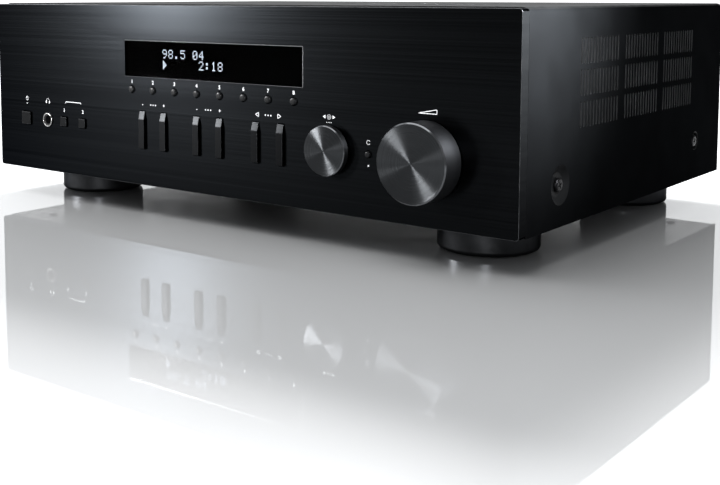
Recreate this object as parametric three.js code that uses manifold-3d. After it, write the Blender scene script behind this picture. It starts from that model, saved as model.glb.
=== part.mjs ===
// Stereo receiver in millimetres. +Z is up, the front looks along -Y and +X is right seen from the front.
// The origin is under the middle of the whole object, on the surface that the feet stand on.
import * as THREE from 'three';
import { mergeGeometries, mergeVertices } from 'three/addons/utils/BufferGeometryUtils.js';
import Module from 'manifold-3d';

const wasm = await Module();
wasm.setup();

// Cabinet
const cabinetWidth = 435;
const cabinetDepth = 304;
const cabinetHeight = 121;
const footHeight = 20;
const sheetThickness = 1;
const volumeKnobReach = 17;
const terminalReach = 19;

// Clearances
const seatGap = 0.3;
const slideGap = 0.4;
const overrun = 5;

// Front panel, its pocket and its window
const panelHeight = 120.4;
const panelDepth = 7.5;
const panelFace = 3;
const panelWall = 2.5;
const panelCornerRadius = 2.5;
const windowWidth = 153.5;
const windowHeight = 24;
const windowCentreHeight = 84.7;
const windowChamfer = 0.8;
const windowRecess = 1.2;
const windowLip = 2;
const windowLipThickness = 1;

// Rows and columns of the controls: heights above the lower edge of the front panel, and places
// across the front as shares of the cabinet's width, counted from its middle
const controlCentreX = -2.5;
const keyPitch = 20;
const roundKeyHeight = 64.1;
const controlRowHeight = 37.2;
const powerKeyShare = -0.4262;
const phonesShare = -0.3715;
const speakerKeyShare = -0.3069;
const selectShare = 0.2161;
const returnKeyShare = 0.2807;
const volumeShare = 0.3706;

// Keys
const keyLip = 1.1;
const keyLipThickness = 1;
const roundKeyRadius = 2.15;
const roundKeyReach = 0.9;
const roundKeyTravel = 0.6;
const returnKeyRadius = 1.75;
const keyEdge = 0.35;
const tallKeyWidth = 5;
const tallKeyHeight = 25;
const tallKeyReach = 1.9;
const tallKeyTopReach = 0.5;
const tallKeySlopeHeight = 5.4;
const tallKeyTravel = 0.8;
const powerKeyWidth = 9.6;
const powerKeyHeight = 9;
const powerKeyReach = 1.5;
const powerKeyTravel = 1.5;
const speakerKeyWidth = 6.4;
const speakerKeyHeight = 6.4;
const speakerKeyReach = 1.4;
const speakerKeyTravel = 1;

// Knobs, shafts and encoders
const volumeKnobRadius = 22.3;
const volumeKnobGap = 0.7;
const selectKnobRadius = 14.8;
const selectKnobReach = 5.8;
const selectTravel = 0.6;
const knobEdge = 0.9;
const knobFaceThickness = 1.6;
const shaftRadius = 3;
const shaftHoleRadius = 4;
const bushingRadius = 4.6;
const volumeEncoderWidth = 15;
const selectEncoderWidth = 12;
const encoderBackThickness = 0.5;
const plungerRadius = 2.6;
const plungerLength = 2;

// Headphone jack
const jackBoreRadius = 3.25;
const jackRingRadius = 5.1;
const jackRingReach = 0.9;
const jackBarrelRadius = 4.5;
const jackBodyWidth = 12;
const jackBodyDepth = 32;
const jackBoreDepth = 29;

// Front board and its switches
const frontBoardDepth = 13;
const boardThickness = 1.6;
const frontBoardLeftInset = 20.5;
const frontBoardRightInset = 37.5;
const frontBoardLow = 16;
const frontBoardHigh = 68;
const switchWidth = 6;
const switchHeight = 3.5;
const switchStemWidth = 3;
const bossWidth = 6;

// Display behind the window
const displayWidth = 148;
const displayHeight = 25;
const displayDepth = 8;
const displayBoardMargin = 3.5;

// Chassis pan
const panWallInset = 3.8;
const panWallHeight = 38;
const panFrontHeight = 14;
const panFrontMargin = 10;
const standoffRadius = 4;
const standoffHeight = 9.7;
const standoffInset = 12;

// Feet
const footRadius = 30;
const footEdge = 2;
const footInset = 49.3;
const frontFootDepth = 56.7;
const rearFootDepth = 252;

// Cover and its ventilation slots
const coverBendRadius = 4.5;
const slotWidth = 2;
const slotLength = 15;
const slotPitch = 4.13;
const slotsPerBlock = 13;
const blockPitch = 61.5;
const blockColumns = 3;
const firstSlotDepth = 71.2;
const rowPitch = 18;
const sideRows = 3;
const lowestRowHeight = 60.1;
const topBlockPitch = 66;
const topColumns = 2;
const topRows = 2;
const topFirstRowDepth = 96;
const floorSlotDepth = 64;

// Cover screws in their pressed dishes
const dishRadius = 11;
const dishFloorRadius = 7;
const rearDishRadius = 6.2;
const rearDishFloorRadius = 4.8;
const dishDepth = 2.5;
const screwHoleRadius = 2.2;
const screwRadius = 1.8;
const screwHeadRadius = 4;
const screwHeadHeight = 2;
const screwLength = 9;
const crossWidth = 0.8;
const crossLength = 4.2;
const crossDepth = 1.1;
const frontScrewDepth = 47.1;
const frontScrewHeight = 23.4;
const rearScrewDepth = 256;
const rearScrewHeight = 26.3;

// Loudspeaker terminals; the places of the blocks on the rear panel are shares of the cabinet's width
const terminalPitch = 19;
const terminalColumns = 4;
const terminalRows = 2;
const terminalBlockShare = -0.1425;
const terminalBlockMargin = 12;
const terminalBlockDepth = 9;
const terminalBlockReach = 1;
const collarRadius = 5.4;
const collarLength = 3.5;
const postRadius = 2;
const capRadius = 6.3;
const capEdge = 0.7;
const capEndThickness = 1.7;

// Line jacks
const jackPitch = 16;
const jackColumns = 4;
const jackRows = 2;
const jackBlockShare = 0.1425;
const jackBlockDepth = 14;
const jackBlockReach = 0.8;
const lineJackRadius = 4.15;
const lineJackReach = 9;
const lineJackBoreRadius = 1.65;
const lineJackBoreDepth = 12;

// Mains inlet
const inletShare = -0.4092;
const inletWidth = 30;
const inletHeight = 24;
const inletDepth = 22;
const inletReach = 1;
const inletHollowWidth = 16;
const inletHollowHeight = 8.6;
const inletHollowDepth = 13;
const inletPinRadius = 1.2;
const inletPinPitch = 8.6;
const inletPinLength = 10;

// Network module with its socket and aerial connector
const networkShare = 0.3494;
const networkWidth = 52;
const networkHeight = 34;
const networkDepth = 60;
const networkReach = 0.8;
const lanWidth = 12;
const lanHeight = 9;
const lanDepth = 13;
const lanOffset = -12;
const lanHeightAbove = 16;
const aerialOffset = 12;
const aerialRadius = 4.8;
const aerialReach = 11;
const aerialBoreRadius = 1;

// Main board and what stands on it
const mainBoardMargin = 12.5;
const mainBoardDepth = 169;
const canRadius = 17.5;
const canHeight = 50;
const canPitch = 39;
const canShare = -0.2874;
const canDepthFromFrontEdge = 40;
const canEdge = 1.5;
const strapWidth = 12;
const strapHeight = 6;

// Transformer
const transformerShare = -0.2874;
const transformerDepth = 70;
const coreWidth = 84;
const coreHeight = 70;
const coreStack = 36;
const limbWidth = 28;
const yokeHeight = 14;
const windingOverhang = 13;
const coreFootReach = 10;
const coreFootThickness = 2.5;

// Heat sink with the output transistors
const sinkShare = 0.1609;
const sinkWidth = 220;
const sinkHeight = 88;
const sinkBase = 6;
const finLength = 34;
const finThickness = 2.4;
const finCount = 16;
const transistorBarWidth = 150;
const transistorBarHeight = 22;
const transistorBarThickness = 5;
const transistorBarAbove = 22;

// Round shapes get this many sides
const knobSides = 40;
const footSides = 28;
const boreSides = 16;
const smallSides = 12;
const bendSteps = 4;

// Places that follow from the sizes
const overallDepth = volumeKnobReach + cabinetDepth + terminalReach;
const frontY = volumeKnobReach - overallDepth / 2;
const rearY = frontY + cabinetDepth;
const rearPanelFrontY = rearY - sheetThickness;
const bottomZ = footHeight;
const topZ = footHeight + cabinetHeight;
const floorTopZ = bottomZ + sheetThickness;
const halfWidth = cabinetWidth / 2;
const powerKeyX = powerKeyShare * cabinetWidth;
const phonesX = phonesShare * cabinetWidth;
const speakerKeyX = speakerKeyShare * cabinetWidth;
const selectX = selectShare * cabinetWidth;
const returnKeyX = returnKeyShare * cabinetWidth;
const volumeX = volumeShare * cabinetWidth;
const frontBoardLeft = frontBoardLeftInset - halfWidth;
const frontBoardRight = halfWidth - frontBoardRightInset;
const footX = halfWidth - footInset;
const terminalBlockX = terminalBlockShare * cabinetWidth;
const jackBlockX = jackBlockShare * cabinetWidth;
const inletX = inletShare * cabinetWidth;
const networkX = networkShare * cabinetWidth;
const mainBoardWidth = cabinetWidth - 2 * mainBoardMargin;
const canX = canShare * cabinetWidth;
const transformerX = transformerShare * cabinetWidth;
const sinkX = sinkShare * cabinetWidth;
const panelBackY = frontY + panelDepth;
const faceBackY = frontY + panelFace;
const shellFrontY = panelBackY + seatGap;
const keyLipFrontY = faceBackY + seatGap;
const keyLipBackY = keyLipFrontY + keyLipThickness;
const frontBoardY = frontY + frontBoardDepth;
const roundKeyZ = bottomZ + roundKeyHeight;
const controlZ = bottomZ + controlRowHeight;
const windowZ = bottomZ + windowCentreHeight;
const mainBoardBottomZ = floorTopZ + standoffHeight + seatGap;
const mainBoardTopZ = mainBoardBottomZ + boardThickness;
const standingZ = mainBoardTopZ + seatGap;
const mainBoardBackY = rearPanelFrontY - seatGap;
const mainBoardFrontY = mainBoardBackY - mainBoardDepth;
const sinkBackY = mainBoardFrontY - transistorBarThickness - seatGap - seatGap;
const encoderFrontY = panelBackY + seatGap;
const encoderBackY = frontBoardY - seatGap;
const encoderBoreEndY = encoderBackY - encoderBackThickness;
const shaftBoreRadius = shaftRadius + seatGap;

const group = new THREE.Group();
group.name = 'stereo_receiver';

// A closed solid from a geometry, for joining and cutting
function solid(geometry) {
  const bare = geometry.clone();
  bare.deleteAttribute('normal');
  bare.deleteAttribute('uv');
  const merged = mergeVertices(bare);
  const mesh = new wasm.Mesh({
    numProp: 3,
    vertProperties: new Float32Array(merged.attributes.position.array),
    triVerts: new Uint32Array(merged.index.array),
  });
  return new wasm.Manifold(mesh);
}

// The geometry of a finished solid, with flat shading normals
function shapeOf(body) {
  const mesh = body.getMesh();
  const geometry = new THREE.BufferGeometry();
  const points = new Float32Array(mesh.vertProperties);
  geometry.setAttribute('position', new THREE.BufferAttribute(points, 3));
  geometry.setIndex(new THREE.BufferAttribute(new Uint32Array(mesh.triVerts), 1));
  geometry.computeVertexNormals();
  return geometry;
}

// A named piece with a finish of its own, put in the group
function piece(name, body, finish) {
  const material = new THREE.MeshStandardMaterial({
    color: finish.color,
    roughness: finish.roughness,
    metalness: finish.metalness,
  });
  const mesh = new THREE.Mesh(shapeOf(body), material);
  mesh.name = name;
  group.add(mesh);
  return mesh;
}

// A box between two opposite corners
function block(x0, x1, y0, y1, z0, z1) {
  const geometry = new THREE.BoxGeometry(x1 - x0, y1 - y0, z1 - z0);
  geometry.translate((x0 + x1) / 2, (y0 + y1) / 2, (z0 + z1) / 2);
  return geometry;
}

// A box centred on x and z that runs from y0 to y1
function bar(x, z, width, height, y0, y1) {
  return block(x - width / 2, x + width / 2, y0, y1, z - height / 2, z + height / 2);
}

// A round bar along Y
function rodY(x, z, radius, y0, y1, sides) {
  const geometry = new THREE.CylinderGeometry(radius, radius, y1 - y0, sides);
  geometry.translate(x, (y0 + y1) / 2, z);
  return geometry;
}

// A round bar along X
function rodX(y, z, radius, x0, x1, sides) {
  const geometry = new THREE.CylinderGeometry(radius, radius, x1 - x0, sides);
  geometry.rotateZ(Math.PI / 2);
  geometry.translate((x0 + x1) / 2, y, z);
  return geometry;
}

// A round bar along Z
function rodZ(x, y, radius, z0, z1, sides) {
  const geometry = new THREE.CylinderGeometry(radius, radius, z1 - z0, sides);
  geometry.rotateX(Math.PI / 2);
  geometry.translate(x, y, (z0 + z1) / 2);
  return geometry;
}

// A turned shape about an axis along Y, from radius and Y pairs written from front to back
function turnedY(x, z, profile, sides) {
  const points = profile.map(([radius, y]) => new THREE.Vector2(radius, y));
  const geometry = new THREE.LatheGeometry(points, sides);
  geometry.translate(x, 0, z);
  return geometry;
}

// A flat outline drawn in X and Z that runs from y0 to y1
function slab(shape, y0, y1, steps) {
  const geometry = new THREE.ExtrudeGeometry(shape, {
    depth: y1 - y0,
    bevelEnabled: false,
    curveSegments: steps,
  });
  geometry.rotateX(Math.PI / 2);
  geometry.translate(0, y1, 0);
  return geometry;
}

// Several separate shapes as one cutting solid
function together(geometries) {
  const bare = geometries.map((geometry) => {
    const copy = geometry.index ? geometry.toNonIndexed() : geometry.clone();
    copy.deleteAttribute('normal');
    copy.deleteAttribute('uv');
    return copy;
  });
  return solid(mergeGeometries(bare));
}

const finishes = {
  anodised: { color: 0x15171a, roughness: 0.38, metalness: 0.85 },
  spunMetal: { color: 0x3c4045, roughness: 0.28, metalness: 0.95 },
  paintedSteel: { color: 0x1b1d1f, roughness: 0.55, metalness: 0.35 },
  platedSteel: { color: 0x8d9092, roughness: 0.4, metalness: 0.9 },
  blackGloss: { color: 0x050607, roughness: 0.08, metalness: 0.1 },
  blackPlastic: { color: 0x121314, roughness: 0.5, metalness: 0 },
  footPlastic: { color: 0x0d0e10, roughness: 0.18, metalness: 0.2 },
  brightMetal: { color: 0xc9cccf, roughness: 0.2, metalness: 1 },
  board: { color: 0x1f4d33, roughness: 0.6, metalness: 0.05 },
  laminations: { color: 0x5f6265, roughness: 0.55, metalness: 0.8 },
  copper: { color: 0x9a5a33, roughness: 0.4, metalness: 0.8 },
  aluminium: { color: 0xa9acae, roughness: 0.45, metalness: 0.9 },
  sleeve: { color: 0x24292f, roughness: 0.35, metalness: 0.1 },
};

// The key columns: eight round keys in a row, and three pairs of tall keys
const roundKeyNames = [
  'display_key', 'mode_key', 'memory_key', 'band_key',
  'preset_down_key', 'preset_up_key', 'tuning_down_key', 'tuning_up_key',
];
const tallKeyNames = [
  'bass_down_key', 'bass_up_key', 'treble_down_key',
  'treble_up_key', 'input_previous_key', 'input_next_key',
];

function roundKeyX(index) {
  return controlCentreX + (index - (roundKeyNames.length - 1) / 2) * keyPitch;
}

function tallKeyX(index) {
  const pair = Math.floor(index / 2) - 1;
  const side = index % 2 - 1 / 2;
  return controlCentreX + (pair * 5 / 2 + side) * keyPitch;
}

// Every key: its place, the size of its cap, how far it stands proud and how far it goes in
const roundKeys = roundKeyNames.map((name, index) => ({
  name, x: roundKeyX(index), z: roundKeyZ, radius: roundKeyRadius, travel: roundKeyTravel,
}));
roundKeys.push({
  name: 'return_key', x: returnKeyX, z: controlZ, radius: returnKeyRadius, travel: roundKeyTravel,
});
const tallKeys = tallKeyNames.map((name, index) => ({
  name,
  x: tallKeyX(index),
  z: controlZ,
  width: tallKeyWidth,
  height: tallKeyHeight,
  reach: tallKeyReach,
  travel: tallKeyTravel,
}));
const squareKeys = [
  {
    name: 'power_key',
    x: powerKeyX,
    z: controlZ,
    width: powerKeyWidth,
    height: powerKeyHeight,
    reach: powerKeyReach,
    travel: powerKeyTravel,
  },
];
for (const [name, side] of [['speaker_a_key', -1], ['speaker_b_key', 1]]) {
  squareKeys.push({
    name,
    x: speakerKeyX + side * keyPitch / 2,
    z: controlZ,
    width: speakerKeyWidth,
    height: speakerKeyHeight,
    reach: speakerKeyReach,
    travel: speakerKeyTravel,
  });
}
const flatKeys = [...tallKeys, ...squareKeys];
const knobPlaces = [volumeX, selectX];

// Brushed face plate with a shallow pocket behind it and a hole for every control
function frontPanel() {
  const low = bottomZ;
  const high = bottomZ + panelHeight;
  const r = panelCornerRadius;
  const outline = new THREE.Shape();
  outline.absarc(halfWidth - r, low + r, r, -Math.PI / 2, 0, false);
  outline.absarc(halfWidth - r, high - r, r, 0, Math.PI / 2, false);
  outline.absarc(r - halfWidth, high - r, r, Math.PI / 2, Math.PI, false);
  outline.absarc(r - halfWidth, low + r, r, Math.PI, Math.PI * 3 / 2, false);
  let body = solid(slab(outline, frontY, panelBackY, bendSteps));
  const w = halfWidth - panelWall;
  const pocket = block(-w, w, faceBackY, panelBackY + overrun, low + panelWall, high - panelWall);
  body = body.subtract(solid(pocket));

  const y0 = frontY - overrun;
  const y1 = faceBackY + overrun;
  const cuts = [bar(controlCentreX, windowZ, windowWidth, windowHeight, y0, y1)];
  for (const key of roundKeys) {
    cuts.push(rodY(key.x, key.z, key.radius + slideGap, y0, y1, smallSides));
  }
  for (const key of flatKeys) {
    cuts.push(bar(key.x, key.z, key.width + 2 * slideGap, key.height + 2 * slideGap, y0, y1));
  }
  for (const x of knobPlaces) cuts.push(rodY(x, controlZ, shaftHoleRadius, y0, y1, boreSides));
  cuts.push(rodY(phonesX, controlZ, jackBarrelRadius + seatGap, y0, y1, boreSides));
  body = body.subtract(together(cuts));
  return body.subtract(windowBevel());
}

// The bevel round the window: a tapered cutter, wider at the face than behind it
function windowBevel() {
  const c = windowChamfer;
  const cutter = bar(controlCentreX, windowZ, windowWidth, windowHeight, frontY - c, frontY + c);
  const points = cutter.attributes.position;
  for (let i = 0; i < points.count; i += 1) {
    if (points.getY(i) < frontY) {
      points.setX(i, points.getX(i) + 2 * c * Math.sign(points.getX(i) - controlCentreX));
      points.setZ(i, points.getZ(i) + 2 * c * Math.sign(points.getZ(i) - windowZ));
    }
  }
  return solid(cutter);
}

// Moulded plate in the pocket of the front panel, with a well for every key and posts for the board
function frontFrame() {
  const w = halfWidth - panelWall - seatGap;
  const low = bottomZ + panelWall + seatGap;
  const high = bottomZ + panelHeight - panelWall - seatGap;
  const y0 = faceBackY + seatGap;
  let body = solid(block(-w, w, y0, panelBackY, low, high));
  const cutFront = y0 - overrun;
  const cutBack = panelBackY + overrun;
  const lip = 2 * (windowLip + seatGap);
  const cuts = [bar(controlCentreX, windowZ, windowWidth + lip, windowHeight + lip, cutFront, cutBack)];
  const wells = roundKeys.map((key) => ({ ...key, width: 2 * key.radius, height: 2 * key.radius }));
  for (const key of [...wells, ...flatKeys]) {
    const grow = 2 * (keyLip + slideGap);
    cuts.push(bar(key.x, key.z, key.width + grow, key.height + grow, cutFront, cutBack));
  }
  for (const place of knobPlaces) {
    cuts.push(rodY(place, controlZ, bushingRadius + seatGap, cutFront, cutBack, boreSides));
  }
  cuts.push(rodY(phonesX, controlZ, jackBarrelRadius + seatGap, cutFront, cutBack, boreSides));
  body = body.subtract(together(cuts));
  for (const [x, z] of boardPostPlaces()) {
    body = body.add(solid(bar(x, z, bossWidth, bossWidth, panelBackY - seatGap, frontBoardY - seatGap)));
  }
  return body;
}

// Posts under the corners of the front board, and one pair beside the keys
function boardPostPlaces() {
  const middle = (frontBoardLeft + frontBoardRight) / 2;
  const half = (frontBoardRight - frontBoardLeft) / 2 - bossWidth;
  const postShares = [-1, -0.6, 1];
  const places = [];
  for (const share of postShares) {
    places.push([middle + share * half, bottomZ + frontBoardLow + bossWidth / 2]);
    places.push([middle + share * half, bottomZ + frontBoardHigh - bossWidth / 2]);
  }
  return places;
}

// Dark clear window with a lip behind the panel
function displayWindow() {
  const width = windowWidth - 2 * seatGap;
  const height = windowHeight - 2 * seatGap;
  const lipWidth = windowWidth + 2 * windowLip;
  const lipHeight = windowHeight + 2 * windowLip;
  const lipFront = faceBackY + seatGap;
  const back = lipFront + windowLipThickness;
  const pane = bar(controlCentreX, windowZ, width, height, frontY + windowRecess, back);
  const lip = bar(controlCentreX, windowZ, lipWidth, lipHeight, lipFront, back);
  return solid(pane).add(solid(lip));
}

// Glass display on a board of its own, held against the back of the frame
function displayModule() {
  const front = faceBackY + seatGap + windowLipThickness + seatGap;
  const glass = bar(controlCentreX, windowZ, displayWidth, displayHeight, front, front + displayDepth);
  const boardFront = panelBackY + seatGap;
  const boardBack = boardFront + boardThickness;
  const grow = 2 * (windowLip + seatGap + displayBoardMargin);
  const width = windowWidth + grow;
  const board = bar(controlCentreX, windowZ, width, windowHeight + grow, boardFront, boardBack);
  return solid(glass).add(solid(board));
}

// Small round key with a soft front edge and a lip that keeps it behind the panel
function roundKey(key) {
  const front = frontY - roundKeyReach;
  return solid(turnedY(key.x, key.z, [
    [0, front],
    [key.radius - keyEdge, front],
    [key.radius, front + keyEdge],
    [key.radius, keyLipFrontY],
    [key.radius + keyLip, keyLipFrontY],
    [key.radius + keyLip, keyLipBackY],
    [0, keyLipBackY],
  ], smallSides));
}

// The lip plate that keeps a flat-sided key behind the panel
function keyLipPlate(key) {
  const width = key.width + 2 * keyLip;
  const height = key.height + 2 * keyLip;
  return solid(bar(key.x, key.z, width, height, keyLipFrontY, keyLipBackY));
}

// Tall key: a straight face below, and a slope at the top that leans back to the panel
function tallKey(key) {
  const top = key.z + key.height / 2;
  const low = key.z - key.height / 2;
  const outline = new THREE.Shape();
  outline.moveTo(keyLipBackY, low);
  outline.lineTo(keyLipBackY, top);
  outline.lineTo(frontY - tallKeyTopReach, top);
  outline.lineTo(frontY - key.reach, top - tallKeySlopeHeight);
  outline.lineTo(frontY - key.reach, low);
  outline.closePath();
  const geometry = new THREE.ExtrudeGeometry(outline, { depth: key.width, bevelEnabled: false });
  geometry.rotateX(Math.PI / 2);
  geometry.rotateZ(Math.PI / 2);
  geometry.translate(key.x - key.width / 2, 0, 0);
  return solid(geometry).add(keyLipPlate(key));
}

// Square key: a plain cap with bevelled front edges
function squareKey(key) {
  const face = frontY - key.reach;
  const bevel = bar(key.x, key.z, key.width, key.height, face, face + keyEdge);
  const points = bevel.attributes.position;
  for (let i = 0; i < points.count; i += 1) {
    if (points.getY(i) < face + keyEdge / 2) {
      points.setX(i, points.getX(i) - keyEdge * Math.sign(points.getX(i) - key.x));
      points.setZ(i, points.getZ(i) - keyEdge * Math.sign(points.getZ(i) - key.z));
    }
  }
  const cap = bar(key.x, key.z, key.width, key.height, face + keyEdge, keyLipBackY);
  return solid(bevel).add(solid(cap)).add(keyLipPlate(key));
}

// Headphone jack: a bright ring on the panel, a barrel through it and a body behind it
function phonesJack() {
  const ringFront = frontY - seatGap - jackRingReach;
  const outside = turnedY(phonesX, controlZ, [
    [0, ringFront],
    [jackRingRadius - keyEdge, ringFront],
    [jackRingRadius, ringFront + keyEdge],
    [jackRingRadius, frontY - seatGap],
    [jackBarrelRadius, frontY - seatGap],
    [jackBarrelRadius, encoderFrontY + seatGap],
    [0, encoderFrontY + seatGap],
  ], 2 * smallSides);
  const back = frontY + jackBodyDepth;
  const boreEnd = frontY + jackBoreDepth;
  const body = bar(phonesX, controlZ, jackBodyWidth, jackBodyWidth, encoderFrontY, back);
  const bore = rodY(phonesX, controlZ, jackBoreRadius, ringFront - overrun, boreEnd, 2 * smallSides);
  return solid(outside).add(solid(body)).subtract(solid(bore));
}

// Turned knob with a narrow bevel round its face and a blind bore for the shaft
function knob(x, radius, reach, gap) {
  const face = frontY - reach;
  const back = frontY - gap;
  return solid(turnedY(x, controlZ, [
    [0, face],
    [radius - knobEdge, face],
    [radius, face + knobEdge],
    [radius, back],
    [shaftBoreRadius, back],
    [shaftBoreRadius, face + knobFaceThickness],
    [0, face + knobFaceThickness],
  ], knobSides));
}

function shaft(x, reach, end) {
  const front = frontY - reach + knobFaceThickness + seatGap;
  return solid(rodY(x, controlZ, shaftRadius, front, end, 2 * smallSides));
}

// Rotary encoder: a square body on the front board, and a bushing through the frame
function encoder(x, width) {
  const body = bar(x, controlZ, width, width, encoderFrontY, encoderBackY);
  const bushing = rodY(x, controlZ, bushingRadius, faceBackY + seatGap, encoderFrontY + seatGap, boreSides);
  const bore = rodY(x, controlZ, shaftBoreRadius, frontY, encoderBoreEndY, boreSides);
  return solid(body).add(solid(bushing)).subtract(solid(bore));
}

const selectShaftEndY = encoderBoreEndY - selectTravel - seatGap - plungerLength - seatGap;
const plungerFrontY = selectShaftEndY + seatGap;

function selectPlunger() {
  const end = plungerFrontY + plungerLength;
  return solid(rodY(selectX, controlZ, plungerRadius, plungerFrontY, end, smallSides));
}

// Board behind the keys, with one push switch under each of them
function frontBoard() {
  const back = frontBoardY + boardThickness;
  const low = bottomZ + frontBoardLow;
  const high = bottomZ + frontBoardHigh;
  let body = solid(block(frontBoardLeft, frontBoardRight, frontBoardY, back, low, high));
  const switches = [];
  for (const key of [...roundKeys, ...flatKeys]) {
    const tip = keyLipBackY + key.travel + seatGap;
    const bodyFront = frontBoardY - switchHeight;
    switches.push(solid(bar(key.x, key.z, switchWidth, switchWidth, bodyFront, back)));
    switches.push(solid(bar(key.x, key.z, switchStemWidth, switchStemWidth, tip, back)));
  }
  for (const part of switches) body = body.add(part);
  const hole = jackBodyWidth + 2 * seatGap;
  return body.subtract(solid(bar(phonesX, controlZ, hole, hole, panelBackY, back + overrun)));
}

// Folded floor of the cabinet: two side walls, a front lip and pressed stands for the main board
function chassisPan() {
  const w = halfWidth - sheetThickness - seatGap;
  const back = rearPanelFrontY - seatGap;
  let body = solid(block(-w, w, shellFrontY, back, bottomZ, floorTopZ));
  const wall = halfWidth - panWallInset;
  for (const side of [-1, 1]) {
    const inner = side * (wall - sheetThickness);
    const x0 = Math.min(side * wall, inner);
    const x1 = Math.max(side * wall, inner);
    body = body.add(solid(block(x0, x1, shellFrontY, back, bottomZ, bottomZ + panWallHeight)));
  }
  const lip = wall - panFrontMargin;
  const lipTop = bottomZ + panFrontHeight;
  body = body.add(solid(block(-lip, lip, shellFrontY, shellFrontY + sheetThickness, bottomZ, lipTop)));
  const standTop = floorTopZ + standoffHeight;
  for (const [x, y] of standoffPlaces()) {
    body = body.add(solid(rodZ(x, y, standoffRadius, bottomZ, standTop, smallSides)));
  }
  const hole = screwHoleRadius;
  const cuts = screwPlaces().map(([y, z]) => rodX(y, z, hole, -halfWidth, halfWidth, smallSides));
  cuts.push(...floorSlots());
  return body.subtract(together(cuts));
}

function standoffPlaces() {
  const halfBoard = mainBoardWidth / 2 - standoffInset;
  const places = [];
  for (const share of [-1, 0, 1]) {
    places.push([share * halfBoard, mainBoardFrontY + standoffInset]);
    places.push([share * halfBoard, mainBoardBackY - standoffInset]);
  }
  return places;
}

// A slot cutter: a box about its middle
function slot(x, y, z, sizeX, sizeY, sizeZ) {
  const geometry = new THREE.BoxGeometry(sizeX, sizeY, sizeZ);
  geometry.translate(x, y, z);
  return geometry;
}

// Air slots in the floor, one block to each side of the heat sink's middle
function floorSlots() {
  const cuts = [];
  for (const side of [-1, 1]) {
    const centre = sinkX + side * blockPitch / 2;
    for (let i = 0; i < slotsPerBlock; i += 1) {
      const x = centre + (i - (slotsPerBlock - 1) / 2) * slotPitch;
      cuts.push(slot(x, frontY + floorSlotDepth, bottomZ, slotWidth, slotLength, 2 * overrun));
    }
  }
  return cuts;
}

function screwPlaces() {
  return [
    [frontY + frontScrewDepth, bottomZ + frontScrewHeight],
    [frontY + rearScrewDepth, bottomZ + rearScrewHeight],
  ];
}

// Folded steel cover, open below and at both ends, with rows of slots and a dish for each screw
function topCover() {
  const t = sheetThickness;
  const r = coverBendRadius;
  const inner = r - t;
  const outline = new THREE.Shape();
  outline.moveTo(-halfWidth, bottomZ);
  outline.lineTo(t - halfWidth, bottomZ);
  outline.absarc(r - halfWidth, topZ - r, inner, Math.PI, Math.PI / 2, true);
  outline.absarc(halfWidth - r, topZ - r, inner, Math.PI / 2, 0, true);
  outline.lineTo(halfWidth - t, bottomZ);
  outline.lineTo(halfWidth, bottomZ);
  outline.absarc(halfWidth - r, topZ - r, r, 0, Math.PI / 2, false);
  outline.absarc(r - halfWidth, topZ - r, r, Math.PI / 2, Math.PI, false);
  outline.closePath();
  let body = solid(slab(outline, shellFrontY, rearY, bendSteps));
  body = body.subtract(together([...sideSlots(), ...topSlots()]));
  const [frontScrew, rearScrew] = screwPlaces();
  const dishes = [
    [frontScrew, dishRadius, dishFloorRadius, 2 * smallSides],
    [rearScrew, rearDishRadius, rearDishFloorRadius, smallSides],
  ];
  for (const [[y, z], radius, floorRadius, sides] of dishes) {
    const reach = halfWidth + overrun;
    body = body.subtract(solid(rodX(y, z, radius, -reach, reach, sides)));
    for (const side of [-1, 1]) body = body.add(dish(side, y, z, radius, floorRadius, sides));
  }
  return body;
}

// Pressed dish with a hole for the screw, turned about X
function dish(side, y, z, radius, floorRadius, sides) {
  const t = sheetThickness;
  const points = [
    [radius, 0],
    [radius + t / 2, 0],
    [radius + t / 2, -t],
    [radius, -t],
    [floorRadius, -dishDepth - t],
    [screwHoleRadius, -dishDepth - t],
    [screwHoleRadius, -dishDepth],
    [floorRadius, -dishDepth],
    [radius, 0],
  ].map(([r, depth]) => new THREE.Vector2(r, depth));
  points.reverse();
  const geometry = new THREE.LatheGeometry(points, sides);
  geometry.rotateZ(-side * Math.PI / 2);
  geometry.rotateX(Math.PI / sides);
  geometry.translate(side * halfWidth, y, z);
  return solid(geometry);
}

// Each cutter runs through both side walls
function sideSlots() {
  const cuts = [];
  const reach = halfWidth + overrun;
  for (let column = 0; column < blockColumns; column += 1) {
    for (let row = 0; row < sideRows; row += 1) {
      const z = bottomZ + lowestRowHeight + row * rowPitch;
      for (let i = 0; i < slotsPerBlock; i += 1) {
        const y = frontY + firstSlotDepth + column * blockPitch + i * slotPitch;
        cuts.push(slot(0, y, z, 2 * reach, slotWidth, slotLength));
      }
    }
  }
  return cuts;
}

// The slots in the top lie over the heat sink
function topSlots() {
  const cuts = [];
  for (let column = 0; column < topColumns; column += 1) {
    const centre = sinkX + (column - (topColumns - 1) / 2) * topBlockPitch;
    for (let row = 0; row < topRows; row += 1) {
      const y = frontY + topFirstRowDepth + row * rowPitch;
      for (let i = 0; i < slotsPerBlock; i += 1) {
        const x = centre + (i - (slotsPerBlock - 1) / 2) * slotPitch;
        cuts.push(slot(x, y, topZ, slotWidth, slotLength, 2 * overrun));
      }
    }
  }
  return cuts;
}

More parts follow.
